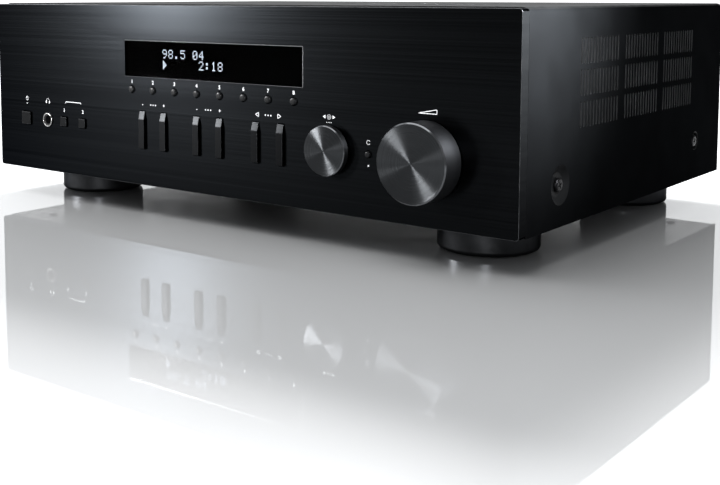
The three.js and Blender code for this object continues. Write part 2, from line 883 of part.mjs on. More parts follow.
// Cross-head screw: its head lies in the dish and its shank goes through the pan's side wall
function coverScrew(side, y, z) {
  const seat = seatGap - dishDepth;
  const top = seat + screwHeadHeight;
  const points = [
    [0, seat - screwLength],
    [screwRadius, seat - screwLength],
    [screwRadius, seat],
    [screwHeadRadius, seat],
    [screwHeadRadius, top - keyEdge],
    [screwHeadRadius - keyEdge, top],
    [0, top],
  ].map(([r, depth]) => new THREE.Vector2(r, depth));
  const geometry = new THREE.LatheGeometry(points, smallSides);
  let body = solid(geometry);
  for (const [width, length] of [[crossWidth, crossLength], [crossLength, crossWidth]]) {
    body = body.subtract(solid(slot(0, top, 0, width, 2 * crossDepth, length)));
  }
  const placed = shapeOf(body);
  placed.rotateZ(-side * Math.PI / 2);
  placed.translate(side * halfWidth, y, z);
  return solid(placed);
}

function foot(x, y) {
  const points = [
    [0, 0],
    [footRadius - footEdge, 0],
    [footRadius - footEdge / 3, footEdge / 3],
    [footRadius, footEdge],
    [footRadius, footHeight],
    [0, footHeight],
  ].map(([r, z]) => new THREE.Vector2(r, z));
  const geometry = new THREE.LatheGeometry(points, footSides);
  geometry.rotateX(Math.PI / 2);
  geometry.translate(x, y, 0);
  return solid(geometry);
}

// Where the blocks on the rear panel stand, as x, z, width and height
const terminalBlockWidth = (terminalColumns - 1) * terminalPitch + 2 * terminalBlockMargin;
const terminalBlockHeight = (terminalRows - 1) * terminalPitch + 2 * terminalBlockMargin;
const jackBlockWidth = jackColumns * jackPitch;
const jackBlockHeight = jackRows * jackPitch;
const terminalZ = standingZ + terminalBlockHeight / 2;
const jackBlockZ = standingZ + jackBlockHeight / 2;
const inletZ = standingZ + inletHeight / 2;
const networkZ = standingZ + networkHeight / 2;

function rearPanel() {
  const w = halfWidth - sheetThickness - seatGap;
  const low = bottomZ + seatGap;
  const high = topZ - sheetThickness - seatGap;
  const r = coverBendRadius - sheetThickness - seatGap;
  const outline = new THREE.Shape();
  outline.moveTo(-w, low);
  outline.lineTo(w, low);
  outline.absarc(w - r, high - r, r, 0, Math.PI / 2, false);
  outline.absarc(r - w, high - r, r, Math.PI / 2, Math.PI, false);
  outline.closePath();
  let body = solid(slab(outline, rearPanelFrontY, rearY, bendSteps));
  const holes = [
    [terminalBlockX, terminalZ, terminalBlockWidth, terminalBlockHeight],
    [jackBlockX, jackBlockZ, jackBlockWidth, jackBlockHeight],
    [inletX, inletZ, inletWidth, inletHeight],
    [networkX, networkZ, networkWidth, networkHeight],
  ];
  const cuts = holes.map(([x, z, width, height]) => bar(
    x,
    z,
    width + 2 * seatGap,
    height + 2 * seatGap,
    rearPanelFrontY - overrun,
    rearY + overrun,
  ));
  body = body.subtract(together(cuts));
  return body;
}

// Loudspeaker terminal places: four columns in two rows
function terminalPlaces() {
  const places = [];
  for (let row = 0; row < terminalRows; row += 1) {
    for (let column = 0; column < terminalColumns; column += 1) {
      places.push([
        terminalBlockX + ((terminalColumns - 1) / 2 - column) * terminalPitch,
        terminalZ + ((terminalRows - 1) / 2 - row) * terminalPitch,
      ]);
    }
  }
  return places;
}

const terminalFaceY = rearY + terminalBlockReach;
const capFrontY = terminalFaceY + collarLength + seatGap;
const capBackY = rearY + terminalReach;

function speakerTerminalBlock() {
  const front = terminalFaceY - terminalBlockDepth;
  const width = terminalBlockWidth;
  let body = solid(bar(terminalBlockX, terminalZ, width, terminalBlockHeight, front, terminalFaceY));
  for (const [x, z] of terminalPlaces()) {
    body = body.add(solid(rodY(x, z, collarRadius, front, terminalFaceY + collarLength, smallSides)));
    body = body.add(solid(rodY(x, z, postRadius, front, capBackY - capEndThickness - seatGap, smallSides)));
  }
  return body;
}

// Screw cap of a terminal: a cup over the threaded post, closed at its end
function terminalCap(x, z) {
  const bore = postRadius + seatGap;
  return solid(turnedY(x, z, [
    [0, capBackY - capEndThickness],
    [bore, capBackY - capEndThickness],
    [bore, capFrontY],
    [capRadius, capFrontY],
    [capRadius, capBackY - capEdge],
    [capRadius - capEdge, capBackY],
    [0, capBackY],
  ], smallSides));
}

function lineJackBlock() {
  const face = rearY + jackBlockReach;
  const front = face - jackBlockDepth;
  let body = solid(bar(jackBlockX, jackBlockZ, jackBlockWidth, jackBlockHeight, front, face));
  const bores = [];
  for (let column = 0; column < jackColumns; column += 1) {
    for (let row = 0; row < jackRows; row += 1) {
      const x = jackBlockX + (column - (jackColumns - 1) / 2) * jackPitch;
      const z = jackBlockZ + (row - (jackRows - 1) / 2) * jackPitch;
      const end = rearY + lineJackReach;
      body = body.add(solid(rodY(x, z, lineJackRadius, face - seatGap, end, smallSides)));
      bores.push(rodY(x, z, lineJackBoreRadius, end - lineJackBoreDepth, end + overrun, smallSides));
    }
  }
  return body.subtract(together(bores));
}

// Two-pin mains inlet: a deep hollow with round ends and two pins in it
function mainsInlet() {
  const face = rearY + inletReach;
  const floor = face - inletHollowDepth;
  const r = inletHollowHeight / 2;
  const half = inletHollowWidth / 2 - r;
  const outline = new THREE.Shape();
  outline.absarc(inletX + half, inletZ, r, -Math.PI / 2, Math.PI / 2, false);
  outline.absarc(inletX - half, inletZ, r, Math.PI / 2, Math.PI * 3 / 2, false);
  let body = solid(bar(inletX, inletZ, inletWidth, inletHeight, face - inletDepth, face));
  body = body.subtract(solid(slab(outline, floor, face + overrun, 2 * bendSteps)));
  const pinEnd = floor + inletPinLength;
  for (const side of [-1, 1]) {
    const x = inletX + side * inletPinPitch / 2;
    body = body.add(solid(rodY(x, inletZ, inletPinRadius, floor - seatGap, pinEnd, smallSides)));
  }
  return body;
}

// Screened network and tuner module: a cable socket and a threaded aerial connector
function networkModule() {
  const face = rearY + networkReach;
  let body = solid(bar(networkX, networkZ, networkWidth, networkHeight, face - networkDepth, face));
  const socketZ = networkZ - networkHeight / 2 + lanHeightAbove;
  const socket = bar(networkX + lanOffset, socketZ, lanWidth, lanHeight, face - lanDepth, face + overrun);
  const x = networkX + aerialOffset;
  const end = rearY + aerialReach;
  body = body.subtract(solid(socket));
  body = body.add(solid(rodY(x, socketZ, aerialRadius, face - seatGap, end, smallSides)));
  return body.subtract(solid(rodY(x, socketZ, aerialBoreRadius, rearY, end + overrun, smallSides)));
}

function mainBoard() {
  const w = mainBoardWidth / 2;
  return solid(block(-w, w, mainBoardFrontY, mainBoardBackY, mainBoardBottomZ, mainBoardTopZ));
}

// Two reservoir capacitors in one strap
function filterCapacitors() {
  const y = mainBoardFrontY + canDepthFromFrontEdge;
  const strapTop = standingZ + strapHeight;
  const low = y - strapWidth / 2;
  const high = y + strapWidth / 2;
  const half = canPitch / 2;
  let body = solid(block(canX - half, canX + half, low, high, standingZ, strapTop));
  for (const side of [-1, 1]) {
    const points = [
      [0, 0],
      [canRadius, 0],
      [canRadius, canHeight - canEdge],
      [canRadius - canEdge, canHeight],
      [0, canHeight],
    ].map(([r, z]) => new THREE.Vector2(r, z));
    const can = new THREE.LatheGeometry(points, 2 * smallSides);
    can.rotateX(Math.PI / 2);
    can.translate(canX + side * half, y, standingZ);
    body = body.add(solid(can));
  }
  return body;
}

const coreBottomZ = floorTopZ + seatGap;
const transformerY = frontY + transformerDepth;

// Laminated core with two windows and a foot along each side
function transformerCore() {
  const y0 = transformerY - coreStack / 2;
  const y1 = transformerY + coreStack / 2;
  const x0 = transformerX - coreWidth / 2;
  const x1 = transformerX + coreWidth / 2;
  const top = coreBottomZ + coreHeight;
  const footTop = coreBottomZ + coreFootThickness;
  const feet = block(x0 - coreFootReach, x1 + coreFootReach, y0, y1, coreBottomZ, footTop);
  let body = solid(block(x0, x1, y0, y1, coreBottomZ, top)).add(solid(feet));
  const cuts = [-1, 1].map((side) => {
    const inner = transformerX + side * limbWidth / 2;
    const outer = transformerX + side * (coreWidth / 2 - limbWidth / 2);
    const low = Math.min(inner, outer);
    const high = Math.max(inner, outer);
    return block(low, high, y0 - overrun, y1 + overrun, coreBottomZ + yokeHeight, top - yokeHeight);
  });
  return body.subtract(together(cuts));
}

// Winding round the middle limb of the core
function transformerWinding() {
  const half = coreWidth / 2 - limbWidth / 2 - seatGap;
  const deep = coreStack / 2 + windingOverhang;
  const low = coreBottomZ + yokeHeight + seatGap;
  const high = coreBottomZ + coreHeight - yokeHeight - seatGap;
  const x = transformerX;
  const y = transformerY;
  const outside = block(x - half, x + half, y - deep, y + deep, low, high);
  const holeX = limbWidth / 2 + seatGap;
  const holeY = coreStack / 2 + seatGap;
  const hole = block(x - holeX, x + holeX, y - holeY, y + holeY, low - overrun, high + overrun);
  return solid(outside).subtract(solid(hole));
}

// Extruded heat sink: one base plate with upright fins on its front side
function heatSink() {
  const x0 = sinkX - sinkWidth / 2;
  const y1 = sinkBackY;
  const low = floorTopZ + seatGap;
  const high = low + sinkHeight;
  let body = solid(block(x0, x0 + sinkWidth, y1 - sinkBase, y1, low, high));
  const pitch = (sinkWidth - finThickness) / (finCount - 1);
  for (let i = 0; i < finCount; i += 1) {
    const x = x0 + i * pitch;
    body = body.add(solid(block(x, x + finThickness, y1 - sinkBase - finLength, y1, low, high)));
  }
  return body;
}

function outputTransistors() {
  const z = floorTopZ + transistorBarAbove + transistorBarHeight / 2;
  const y0 = sinkBackY + seatGap;
  const y1 = y0 + transistorBarThickness;
  return solid(bar(sinkX, z, transistorBarWidth, transistorBarHeight, y0, y1));
}

// The pieces, from the front to the back
piece('front_panel', frontPanel(), finishes.anodised);
piece('front_frame', frontFrame(), finishes.blackPlastic);
piece('display_window', displayWindow(), finishes.blackGloss);
piece('display_module', displayModule(), finishes.blackGloss);
for (const key of roundKeys) piece(key.name, roundKey(key), finishes.anodised);
for (const key of tallKeys) piece(key.name, tallKey(key), finishes.anodised);
for (const key of squareKeys) piece(key.name, squareKey(key), finishes.anodised);
piece('phones_jack', phonesJack(), finishes.brightMetal);
const volumeKnob = knob(volumeX, volumeKnobRadius, volumeKnobReach, volumeKnobGap);
piece('volume_knob', volumeKnob, finishes.spunMetal);
piece('volume_shaft', shaft(volumeX, volumeKnobReach, encoderBoreEndY - seatGap), finishes.platedSteel);
piece('volume_encoder', encoder(volumeX, volumeEncoderWidth), finishes.platedSteel);
const selectKnob = knob(selectX, selectKnobRadius, selectKnobReach, selectTravel + seatGap);
piece('select_knob', selectKnob, finishes.spunMetal);
piece('select_shaft', shaft(selectX, selectKnobReach, selectShaftEndY), finishes.platedSteel);
piece('select_plunger', selectPlunger(), finishes.blackPlastic);
piece('select_encoder', encoder(selectX, selectEncoderWidth), finishes.platedSteel);
piece('front_board', frontBoard(), finishes.board);
piece('chassis_pan', chassisPan(), finishes.platedSteel);
piece('top_cover', topCover(), finishes.paintedSteel);
piece('rear_panel', rearPanel(), finishes.paintedSteel);
piece('main_board', mainBoard(), finishes.board);
piece('filter_capacitors', filterCapacitors(), finishes.sleeve);
piece('transformer_core', transformerCore(), finishes.laminations);
piece('transformer_winding', transformerWinding(), finishes.copper);
piece('heat_sink', heatSink(), finishes.aluminium);
piece('output_transistors', outputTransistors(), finishes.blackPlastic);
piece('speaker_terminal_block', speakerTerminalBlock(), finishes.blackPlastic);
terminalPlaces().forEach(([x, z], index) => {
  piece(`terminal_cap_${index + 1}`, terminalCap(x, z), finishes.blackPlastic);
});
piece('line_jack_block', lineJackBlock(), finishes.blackPlastic);
piece('mains_inlet', mainsInlet(), finishes.blackPlastic);
piece('network_module', networkModule(), finishes.platedSteel);
for (const [sideName, side] of [['left', -1], ['right', 1]]) {
  screwPlaces().forEach(([y, z], index) => {
    const end = index === 0 ? 'front' : 'rear';
    piece(`cover_screw_${end}_${sideName}`, coverScrew(side, y, z), finishes.platedSteel);
  });
  piece(`foot_front_${sideName}`, foot(side * footX, frontY + frontFootDepth), finishes.footPlastic);
  piece(`foot_rear_${sideName}`, foot(side * footX, frontY + rearFootDepth), finishes.footPlastic);
}

export default group;
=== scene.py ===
import bmesh
import bpy
import math
from mathutils import Matrix, Vector
from mathutils.geometry import tessellate_polygon


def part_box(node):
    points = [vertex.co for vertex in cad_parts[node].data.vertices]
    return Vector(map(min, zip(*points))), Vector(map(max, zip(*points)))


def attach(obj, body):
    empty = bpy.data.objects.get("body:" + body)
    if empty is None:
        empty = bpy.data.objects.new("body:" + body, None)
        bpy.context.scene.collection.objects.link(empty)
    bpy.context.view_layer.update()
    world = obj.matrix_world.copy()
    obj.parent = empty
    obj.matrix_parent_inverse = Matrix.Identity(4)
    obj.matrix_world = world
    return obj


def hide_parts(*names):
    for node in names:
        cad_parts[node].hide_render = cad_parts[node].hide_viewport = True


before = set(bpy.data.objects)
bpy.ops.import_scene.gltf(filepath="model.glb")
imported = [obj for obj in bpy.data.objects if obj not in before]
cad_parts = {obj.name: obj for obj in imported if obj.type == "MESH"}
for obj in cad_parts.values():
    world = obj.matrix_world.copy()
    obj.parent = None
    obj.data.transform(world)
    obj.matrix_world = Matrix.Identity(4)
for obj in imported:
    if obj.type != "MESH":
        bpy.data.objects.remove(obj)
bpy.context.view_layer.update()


# Studio: a camera a little above table height and a pale glossy table. A broad soft box hangs overhead,
# two at the left and a tall strip at the right light the front, a small card lights the upper part of
# the side, and a box far behind lights the table alone.

def metres(x, y, z):
    """Sizes in this file are in millimetres, apart from those given to node trees."""
    return Vector((x, y, z)) * 0.001


def put(owner, kind, inputs, output=0, **settings):
    """Adds a shader or geometry node to a finish, the sky or a tree, and hands on one of its outputs.
    Each input gets a value, or follows the outputs of other nodes."""
    tree = getattr(owner, "node_tree", owner)
    family = "ShaderNode" if hasattr(bpy.types, "ShaderNode" + kind) else "GeometryNode"
    node = tree.nodes.new(family + kind)
    for key, value in settings.items():
        setattr(node, key, value)
    for socket, value in inputs.items():
        sources = value if isinstance(value, list) else [value]
        for source in sources:
            if isinstance(source, bpy.types.NodeSocket):
                tree.links.new(source, node.inputs[socket])
            else:
                node.inputs[socket].default_value = source
    return node.outputs[output]


def shader_inputs(finish):
    return finish.node_tree.nodes["Principled BSDF"].inputs


def new_finish(name, metallic, values=()):
    """A finish with one shader, set on its own sockets."""
    finish = bpy.data.materials.new(name)
    finish.use_nodes = True
    shader_inputs(finish)["Metallic"].default_value = metallic
    for socket, value in dict(values).items():
        shader_inputs(finish)[socket].default_value = value
    return finish


def new_object(name, data):
    piece = bpy.data.objects.new(name, data)
    bpy.context.scene.collection.objects.link(piece)
    return piece


def draw_out(name, drawing, *finishes):
    """An object from a drawing in metres, with its finishes."""
    mesh = bpy.data.meshes.new(name)
    drawing.to_mesh(mesh)
    drawing.free()
    for finish in finishes:
        mesh.materials.append(finish)
    return new_object(name, mesh)


camera_data = bpy.data.cameras.new("camera")
camera_data.sensor_width = 36
camera_data.lens = 55.73
camera_data.shift_x = 0.065
camera_data.shift_y = -0.2
camera_data.clip_start = 0.02
camera_data.clip_end = 60
camera_tilt, camera_turn = 5.34, 38.28
camera = new_object("camera", camera_data)
camera.location = metres(484.8, -663, 147.4)
camera.rotation_euler = (math.radians(90 - camera_tilt), 0, math.radians(camera_turn))
bpy.context.scene.camera = camera
bpy.context.scene.view_settings.view_transform = "Standard"

drawing = bmesh.new()
bmesh.ops.create_circle(drawing, cap_ends=True, segments=96, radius=9)
table = draw_out("table", drawing, new_finish("pale_glossy_table", 0, {
    "Base Color": (0.86, 0.87, 0.88, 1), "Roughness": 0.6, "Specular IOR Level": 0.2,
    "Coat Weight": 1.0, "Coat IOR": 1.9, "Coat Roughness": 0.025,
}))


def soft_box(name, place, aim, width, height, power, table_lit=True, part_lit=True, spread=180):
    """A rectangular lamp that looks from its place towards a point. A flagged lamp lights only the
    table, or everything but the table."""
    lamp = bpy.data.lights.new(name, "AREA")
    lamp.shape = "RECTANGLE"
    lamp.size = width * 0.001
    lamp.size_y = height * 0.001
    lamp.energy = power
    lamp.spread = math.radians(spread)
    holder = new_object(name, lamp)
    holder.location = metres(*place)
    direction = metres(*aim) - metres(*place)
    holder.rotation_euler = direction.to_track_quat("-Z", "Y").to_euler()
    holder.visible_camera = False
    if not (table_lit and part_lit):
        flag = bpy.data.collections.new(name + "_flag")
        flag.objects.link(table)
        flag.collection_objects[0].light_linking.link_state = "INCLUDE" if table_lit else "EXCLUDE"
        holder.light_linking.receiver_collection = flag


soft_box("overhead_box", (-250, -420, 1500), (-150, -200, 0), 1500, 1500, 15)
soft_box("back_left_box", (-780, 1420, 1030), (40, -80, 0), 500, 500, 105, part_lit=False)
soft_box("front_left_box", (-560, -665, 240), (0, -150, 90), 80, 200, 10.5, table_lit=False)
soft_box("left_wide_box", (-860, -760, 500), (-100, -150, 110), 700, 300, 2.4, table_lit=False)
soft_box("right_strip", (641, -1245, 285), (160, -150, 60), 50, 260, 8, table_lit=False)
soft_box("side_card", (347, -145, 182), (217, -145, 172), 60, 60, 2.0, table_lit=False, spread=92)

sky = bpy.data.worlds.new("studio_sky")
sky.use_nodes = True
bpy.context.scene.world = sky
sky_direction = put(sky, "TexCoord", {}, "Generated")
sky_side = put(sky, "VectorMath", {
    0: sky_direction, 1: (-0.87, 0.49, 0),
}, "Value", operation="DOT_PRODUCT")
sky_step = put(sky, "MapRange", {
    "Value": sky_side, "From Min": 0.35, "From Max": 0.75, "To Min": 0.22, "To Max": 1.4,
}, interpolation_type="SMOOTHSTEP")
sky_light = sky.node_tree.nodes["Background"].inputs
sky_light["Color"].default_value = (0.97, 0.985, 1, 1)
sky.node_tree.links.new(sky_step, sky_light["Strength"])


# Chassis: one pan folded from zinc-plated steel sheet, with a low wall at the front and a tall one
# along each side. Rolled sheet has a faint cloudy spangle, and its edges are bare. The pan's zinc is
# darkened nearly to black as painted shade for the space under the cabinet.

def pattern(finish, waves, detail):
    """A cloudy pattern on the piece's own coordinates, from its number of waves to a metre, which is
    one number or one each along x, y and z. A node's output counts as a pattern already."""
    if isinstance(waves, bpy.types.NodeSocket):
        return waves
    scale = waves if isinstance(waves, tuple) else (waves, waves, waves)
    where = put(finish, "TexCoord", {}, "Object")
    stretched = put(finish, "Mapping", {"Vector": where, "Scale": scale})
    return put(finish, "TexNoise", {"Vector": stretched, "Scale": 1, "Detail": detail})


def drive(finish, socket, output):
    """Lets a node's output set one of the shader's sockets."""
    finish.node_tree.links.new(output, shader_inputs(finish)[socket])


def tint(finish, waves, dark, light, low=0.35, high=0.65, detail=4):
    """Colour that wanders between two tones with a pattern."""
    ramp = finish.node_tree.nodes.new("ShaderNodeValToRGB")
    for end, position, tone in zip(ramp.color_ramp.elements, (low, high), (dark, light)):
        end.position = position
        end.color = (*tone, 1)
    finish.node_tree.links.new(pattern(finish, waves, detail), ramp.inputs["Fac"])
    drive(finish, "Base Color", ramp.outputs["Color"])


def roughen(finish, waves, smooth, rough, detail=4):
    """Roughness that wanders between two values with a pattern."""
    span = put(finish, "MapRange", {
        "Value": pattern(finish, waves, detail), "From Min": 0.3, "From Max": 0.7,
        "To Min": smooth, "To Max": rough,
    })
    drive(finish, "Roughness", span)


def emboss(finish, waves, depth, strength, detail=4):
    """Relief from a pattern, with its depth in millimetres."""
    bump = put(finish, "Bump", {
        "Height": pattern(finish, waves, detail), "Distance": depth * 0.001, "Strength": strength,
    })
    drive(finish, "Normal", bump)


def wear_edges(finish, colour, share):
    """A lighter tone where an edge has been rubbed, broken up by a fine pattern."""
    rounded = put(finish, "Bevel", {"Radius": 0.0003})
    true_face = put(finish, "NewGeometry", {}, "Normal")
    match = put(finish, "VectorMath", {0: rounded, 1: true_face}, "Value", operation="DOT_PRODUCT")
    amount = put(finish, "MapRange", {
        "Value": match, "From Min": 0.995, "From Max": 0.85, "To Max": share,
    })
    broken = put(finish, "Math", {0: amount, 1: pattern(finish, 400, 4)}, operation="MULTIPLY")
    unworn = shader_inputs(finish)["Base Color"].links[0].from_socket
    worn = {"Factor": broken, "A": unworn, "B": (*colour, 1)}
    drive(finish, "Base Color", put(finish, "Mix", worn, "Result", data_type="RGBA"))


def dress(finish, *names):
    """Gives a finish to CAD nodes, which stay where they are."""
    for name in names:
        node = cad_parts[name]
        if not node.material_slots:
            node.data.materials.append(finish)
        for place in node.material_slots:
            place.material = finish


zinc = new_finish("zinc_plated_steel", 1)
tint(zinc, 90, (0.42, 0.43, 0.45), (0.62, 0.63, 0.64), detail=5)
roughen(zinc, 90, 0.26, 0.44, detail=5)
emboss(zinc, 1400, 0.01, 0.4)
dress(zinc, "volume_encoder", "select_encoder", "volume_shaft", "select_shaft")

# The pan's zinc is darkened nearly to black as painted shade for the space under the cabinet; only its
# rubbed edges stay lighter.
pan_zinc_painted_shade = new_finish("pan_zinc_darkened_shade", 1)
tint(pan_zinc_painted_shade, 90, (0.014, 0.014, 0.015), (0.026, 0.026, 0.027), detail=5)
roughen(pan_zinc_painted_shade, 90, 0.36, 0.52, detail=5)
emboss(pan_zinc_painted_shade, 1400, 0.01, 0.4)
wear_edges(pan_zinc_painted_shade, (0.3, 0.3, 0.31), 0.8)
dress(pan_zinc_painted_shade, "chassis_pan")


# Main board and front board: glass-fibre sheet under green solder resist, with the copper tracks
# showing faintly through it. They stand on posts in the pan and behind the front.

resist = new_finish("green_solder_resist", 0, {"Roughness": 0.35})
resist_where = put(resist, "TexCoord", {}, "Object")
resist_cells = put(resist, "Mapping", {"Vector": resist_where, "Scale": (160, 160, 160)})
resist_tracks = put(resist, "TexVoronoi", {"Vector": resist_cells, "Scale": 1})
tint(resist, resist_tracks, (0.012, 0.07, 0.03), (0.03, 0.16, 0.07))
emboss(resist, 1800, 0.01, 0.3)
dress(resist, "main_board", "front_board")


# Transformer: a stack of varnished iron laminations on two feet, with a taped copper winding.
# The laminations are stacked from front to back, and the turns of the winding upwards.

core = new_finish("varnished_laminations", 0.6, {"Roughness": 0.45})
tint(core, (30, 2600, 30), (0.04, 0.038, 0.036), (0.13, 0.12, 0.11), detail=2)
emboss(core, (30, 2600, 30), 0.05, 0.8, detail=2)
dress(core, "transformer_core")

winding = new_finish("enamelled_copper", 0.9, {"Roughness": 0.35})
tint(winding, (25, 25, 1600), (0.28, 0.1, 0.04), (0.55, 0.24, 0.1), detail=2)
emboss(winding, (25, 25, 1600), 0.08, 0.8, detail=2)
dress(winding, "transformer_winding")


# Reservoir capacitors in shrunk plastic sleeves, and the extruded aluminium heat sink with the
# moulded bar of output transistors clamped to it.

sleeve = new_finish("can_sleeve", 0)
roughen(sleeve, 300, 0.22, 0.4)
tint(sleeve, 60, (0.015, 0.017, 0.025), (0.03, 0.032, 0.045))
dress(sleeve, "filter_capacitors")

extruded = new_finish("extruded_aluminium", 1)
tint(extruded, (1500, 1500, 25), (0.48, 0.49, 0.5), (0.68, 0.69, 0.7), detail=3)
roughen(extruded, (1500, 1500, 25), 0.3, 0.5, detail=3)
emboss(extruded, (1500, 1500, 25), 0.02, 0.5, detail=3)
dress(extruded, "heat_sink")

moulding = new_finish("moulded_black_plastic", 0, {"Specular IOR Level": 0.15})
tint(moulding, 120, (0.006, 0.006, 0.0066), (0.011, 0.011, 0.012))
roughen(moulding, 2200, 0.34, 0.52, detail=2)
emboss(moulding, 2200, 0.02, 0.5, detail=2)
dress(moulding, "output_transistors", "front_frame", "select_plunger", "speaker_terminal_block")
dress(moulding, "line_jack_block", "mains_inlet")


# Rear panel: a flat steel sheet under textured black paint, held by small cross-head screws, with
# plain numerals printed beside the connectors. The same screws hold the pan from below.

paint = new_finish("textured_black_paint", 0, {"Specular IOR Level": 0.02})
tint(paint, 45, (0.0035, 0.0037, 0.004), (0.0055, 0.0058, 0.0062))
roughen(paint, 260, 0.4, 0.5)
emboss(paint, 1500, 0.012, 0.3, detail=3)
dress(paint, "rear_panel")


def new_tree(name, **labels):
    """An empty Geometry Nodes tree with a named input for each label, and what it is given."""
    tree = bpy.data.node_groups.new(name, "GeometryNodeTree")
    for side in ("INPUT", "OUTPUT"):
        tree.interface.new_socket(name="Geometry", in_out=side, socket_type="NodeSocketGeometry")
    for label, kind in labels.items():
        label = label.replace("_", " ")
        tree.interface.new_socket(name=label, in_out="INPUT", socket_type="NodeSocket" + kind)
    return tree, tree.nodes.new("NodeGroupInput").outputs


def end_tree(tree, geometry, finish, chosen=True):
    """Makes instances real, gives them their finish and hands them out."""
    real = put(tree, "RealizeInstances", {"Geometry": geometry})
    finished = put(tree, "SetMaterial", {"Geometry": real, "Selection": chosen, "Material": finish})
    tree.links.new(finished, tree.nodes.new("NodeGroupOutput").inputs["Geometry"])
    return tree


def cut_away(tree, solid, cutter):
    both = {"Mesh 1": solid, "Mesh 2": cutter}
    return put(tree, "MeshBoolean", both, operation="DIFFERENCE", solver="EXACT")


def final_mesh(thing):
    """The mesh that an object's modifiers or its text come out as."""
    bpy.context.view_layer.update()
    depsgraph = bpy.context.evaluated_depsgraph_get()
    return bpy.data.meshes.new_from_object(thing.evaluated_get(depsgraph), depsgraph=depsgraph)


def settle(piece):
    """Turns the piece with its modifiers into one plain mesh."""
    mesh = final_mesh(piece)
    mesh.name = piece.name
    piece.modifiers.clear()
    piece.data = mesh
    return piece


def grow(piece, tree, values):
    """Sets a tree's inputs by their identifiers and settles the result."""
    modifier = piece.modifiers.new(tree.name, "NODES")
    modifier.node_group = tree
    for item in tree.interface.items_tree:
        if item.item_type == "SOCKET" and item.in_out == "INPUT" and item.name in values:
            modifier[item.identifier] = values[item.name]
    return settle(piece)


def points_object(name, places):
    """Loose points, in millimetres, for a tree to set things on."""
    mesh = bpy.data.meshes.new(name)
    mesh.from_pydata([metres(*place) for place in places], [], [])
    return new_object(name, mesh)


def screw_tree():
    """A low round head with a cross cut in it, set on every point."""
    tree, given = new_tree("cross_head_screws", Head_Radius="Float", Head_Height="Float",
                           Cross_Length="Float", Cross_Width="Float", Turn="Rotation", Finish="Material")
    narrow = put(tree, "Math", {0: given["Head Radius"], 1: 0.78}, operation="MULTIPLY")
    shape = put(tree, "MeshCone", {
        "Vertices": 24, "Radius Top": narrow, "Radius Bottom": given["Head Radius"],
        "Depth": given["Head Height"],
    })
    rise = put(tree, "CombineXYZ", {"Z": given["Head Height"]})
    for along, across in (("X", "Y"), ("Y", "X")):
        size = put(tree, "CombineXYZ", {
            along: given["Cross Length"], across: given["Cross Width"], "Z": given["Head Height"],
        })
        bar = put(tree, "MeshCube", {"Size": size})
        lifted = put(tree, "Transform", {"Geometry": bar, "Translation": rise})
        shape = cut_away(tree, shape, lifted)
    placed = put(tree, "InstanceOnPoints", {
        "Points": given["Geometry"], "Instance": shape, "Rotation": given["Turn"],
    })
    return end_tree(tree, placed, given["Finish"])


black_screw = new_finish("blackened_steel", 0.9)
tint(black_screw, 500, (0.008, 0.008, 0.009), (0.018, 0.018, 0.02))
roughen(black_screw, 900, 0.26, 0.42)
screws = screw_tree()
rear_face_y, pan_floor_z = 151.2, 19.7
rear_places = [(x, rear_face_y, 134) for x in (-210, -105, 0, 105, 210)]
rear_places += [(x, rear_face_y, 27) for x in (-210, 0, 210)]
rear_places += [(x, rear_face_y, z) for x, z in ((-62, 80), (62, 70), (22, 40), (-178, 62), (152, 71))]
floor_places = [(x, y, pan_floor_z) for x in (-190, -60, 60, 190) for y in (-128, 30, 135)]
for name, places, radius, length, width, turned in (
        ("rear_panel_screws", rear_places, 0.0028, 0.0032, 0.0007, -90),
        ("floor_screws", floor_places, 0.0032, 0.0036, 0.0008, 180)):
    small_screws = points_object(name, places)
    grow(small_screws, screws, {
        "Head Radius": radius, "Head Height": 0.0012, "Cross Length": length, "Cross Width": width,
        "Turn": (math.radians(turned), 0, 0), "Finish": black_screw,
    })
    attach(small_screws, "cabinet")

ink = new_finish("printed_ink", 0)
tint(ink, 3000, (0.58, 0.59, 0.61), (0.72, 0.73, 0.75))


def printed(name, words, places, turned):
    """Flat printed signs, each a short text with its middle at a place, joined into one piece."""
    height = 2.4
    drawing = bmesh.new()
    for text, (x, y, z) in zip(words, places):
        curve = bpy.data.curves.new(name, "FONT")
        curve.body = text
        curve.size = height * 1.4 * 0.001
        curve.align_x = "CENTER"
        curve.align_y = "CENTER"
        curve.extrude = 0.00001
        curve.offset = height * 0.00003
        curve.resolution_u = 3
        draft = new_object(name + "_draft", curve)
        mesh = final_mesh(draft)
        mesh.transform(Matrix.Translation(metres(x, y, z)) @ turned)
        drawing.from_mesh(mesh)
        bpy.data.objects.remove(draft)
        bpy.data.meshes.remove(mesh)
        bpy.data.curves.remove(curve)
    return draw_out(name, drawing, ink)


front_turn = Matrix.Rotation(math.radians(90), 4, "X")
rear_turn = Matrix.Rotation(math.radians(180), 4, "Z") @ front_turn
rear_word_places = [(85.99 - column * 16, 151.05, 69) for column in range(4)]
rear_word_places += [(-33.49 - column * 19, 151.05, 80) for column in range(4)]
rear_word_places += [(-33.49 - column * 19, 152.05, 54.4) for column in range(4)]
rear_signs = printed("rear_numerals", "12341234+--+", rear_word_places, rear_turn)
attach(rear_signs, "cabinet")


# Loudspeaker terminals: eight moulded caps on threaded posts, red for one pole and black for the
# other, with moulded ribs round each for the fingers.

def smooth(piece, angle=35):
    """Smooth shading that keeps the sharp edges."""
    piece.data.shade_smooth()
    piece.data.set_sharp_from_angle(angle=math.radians(angle))


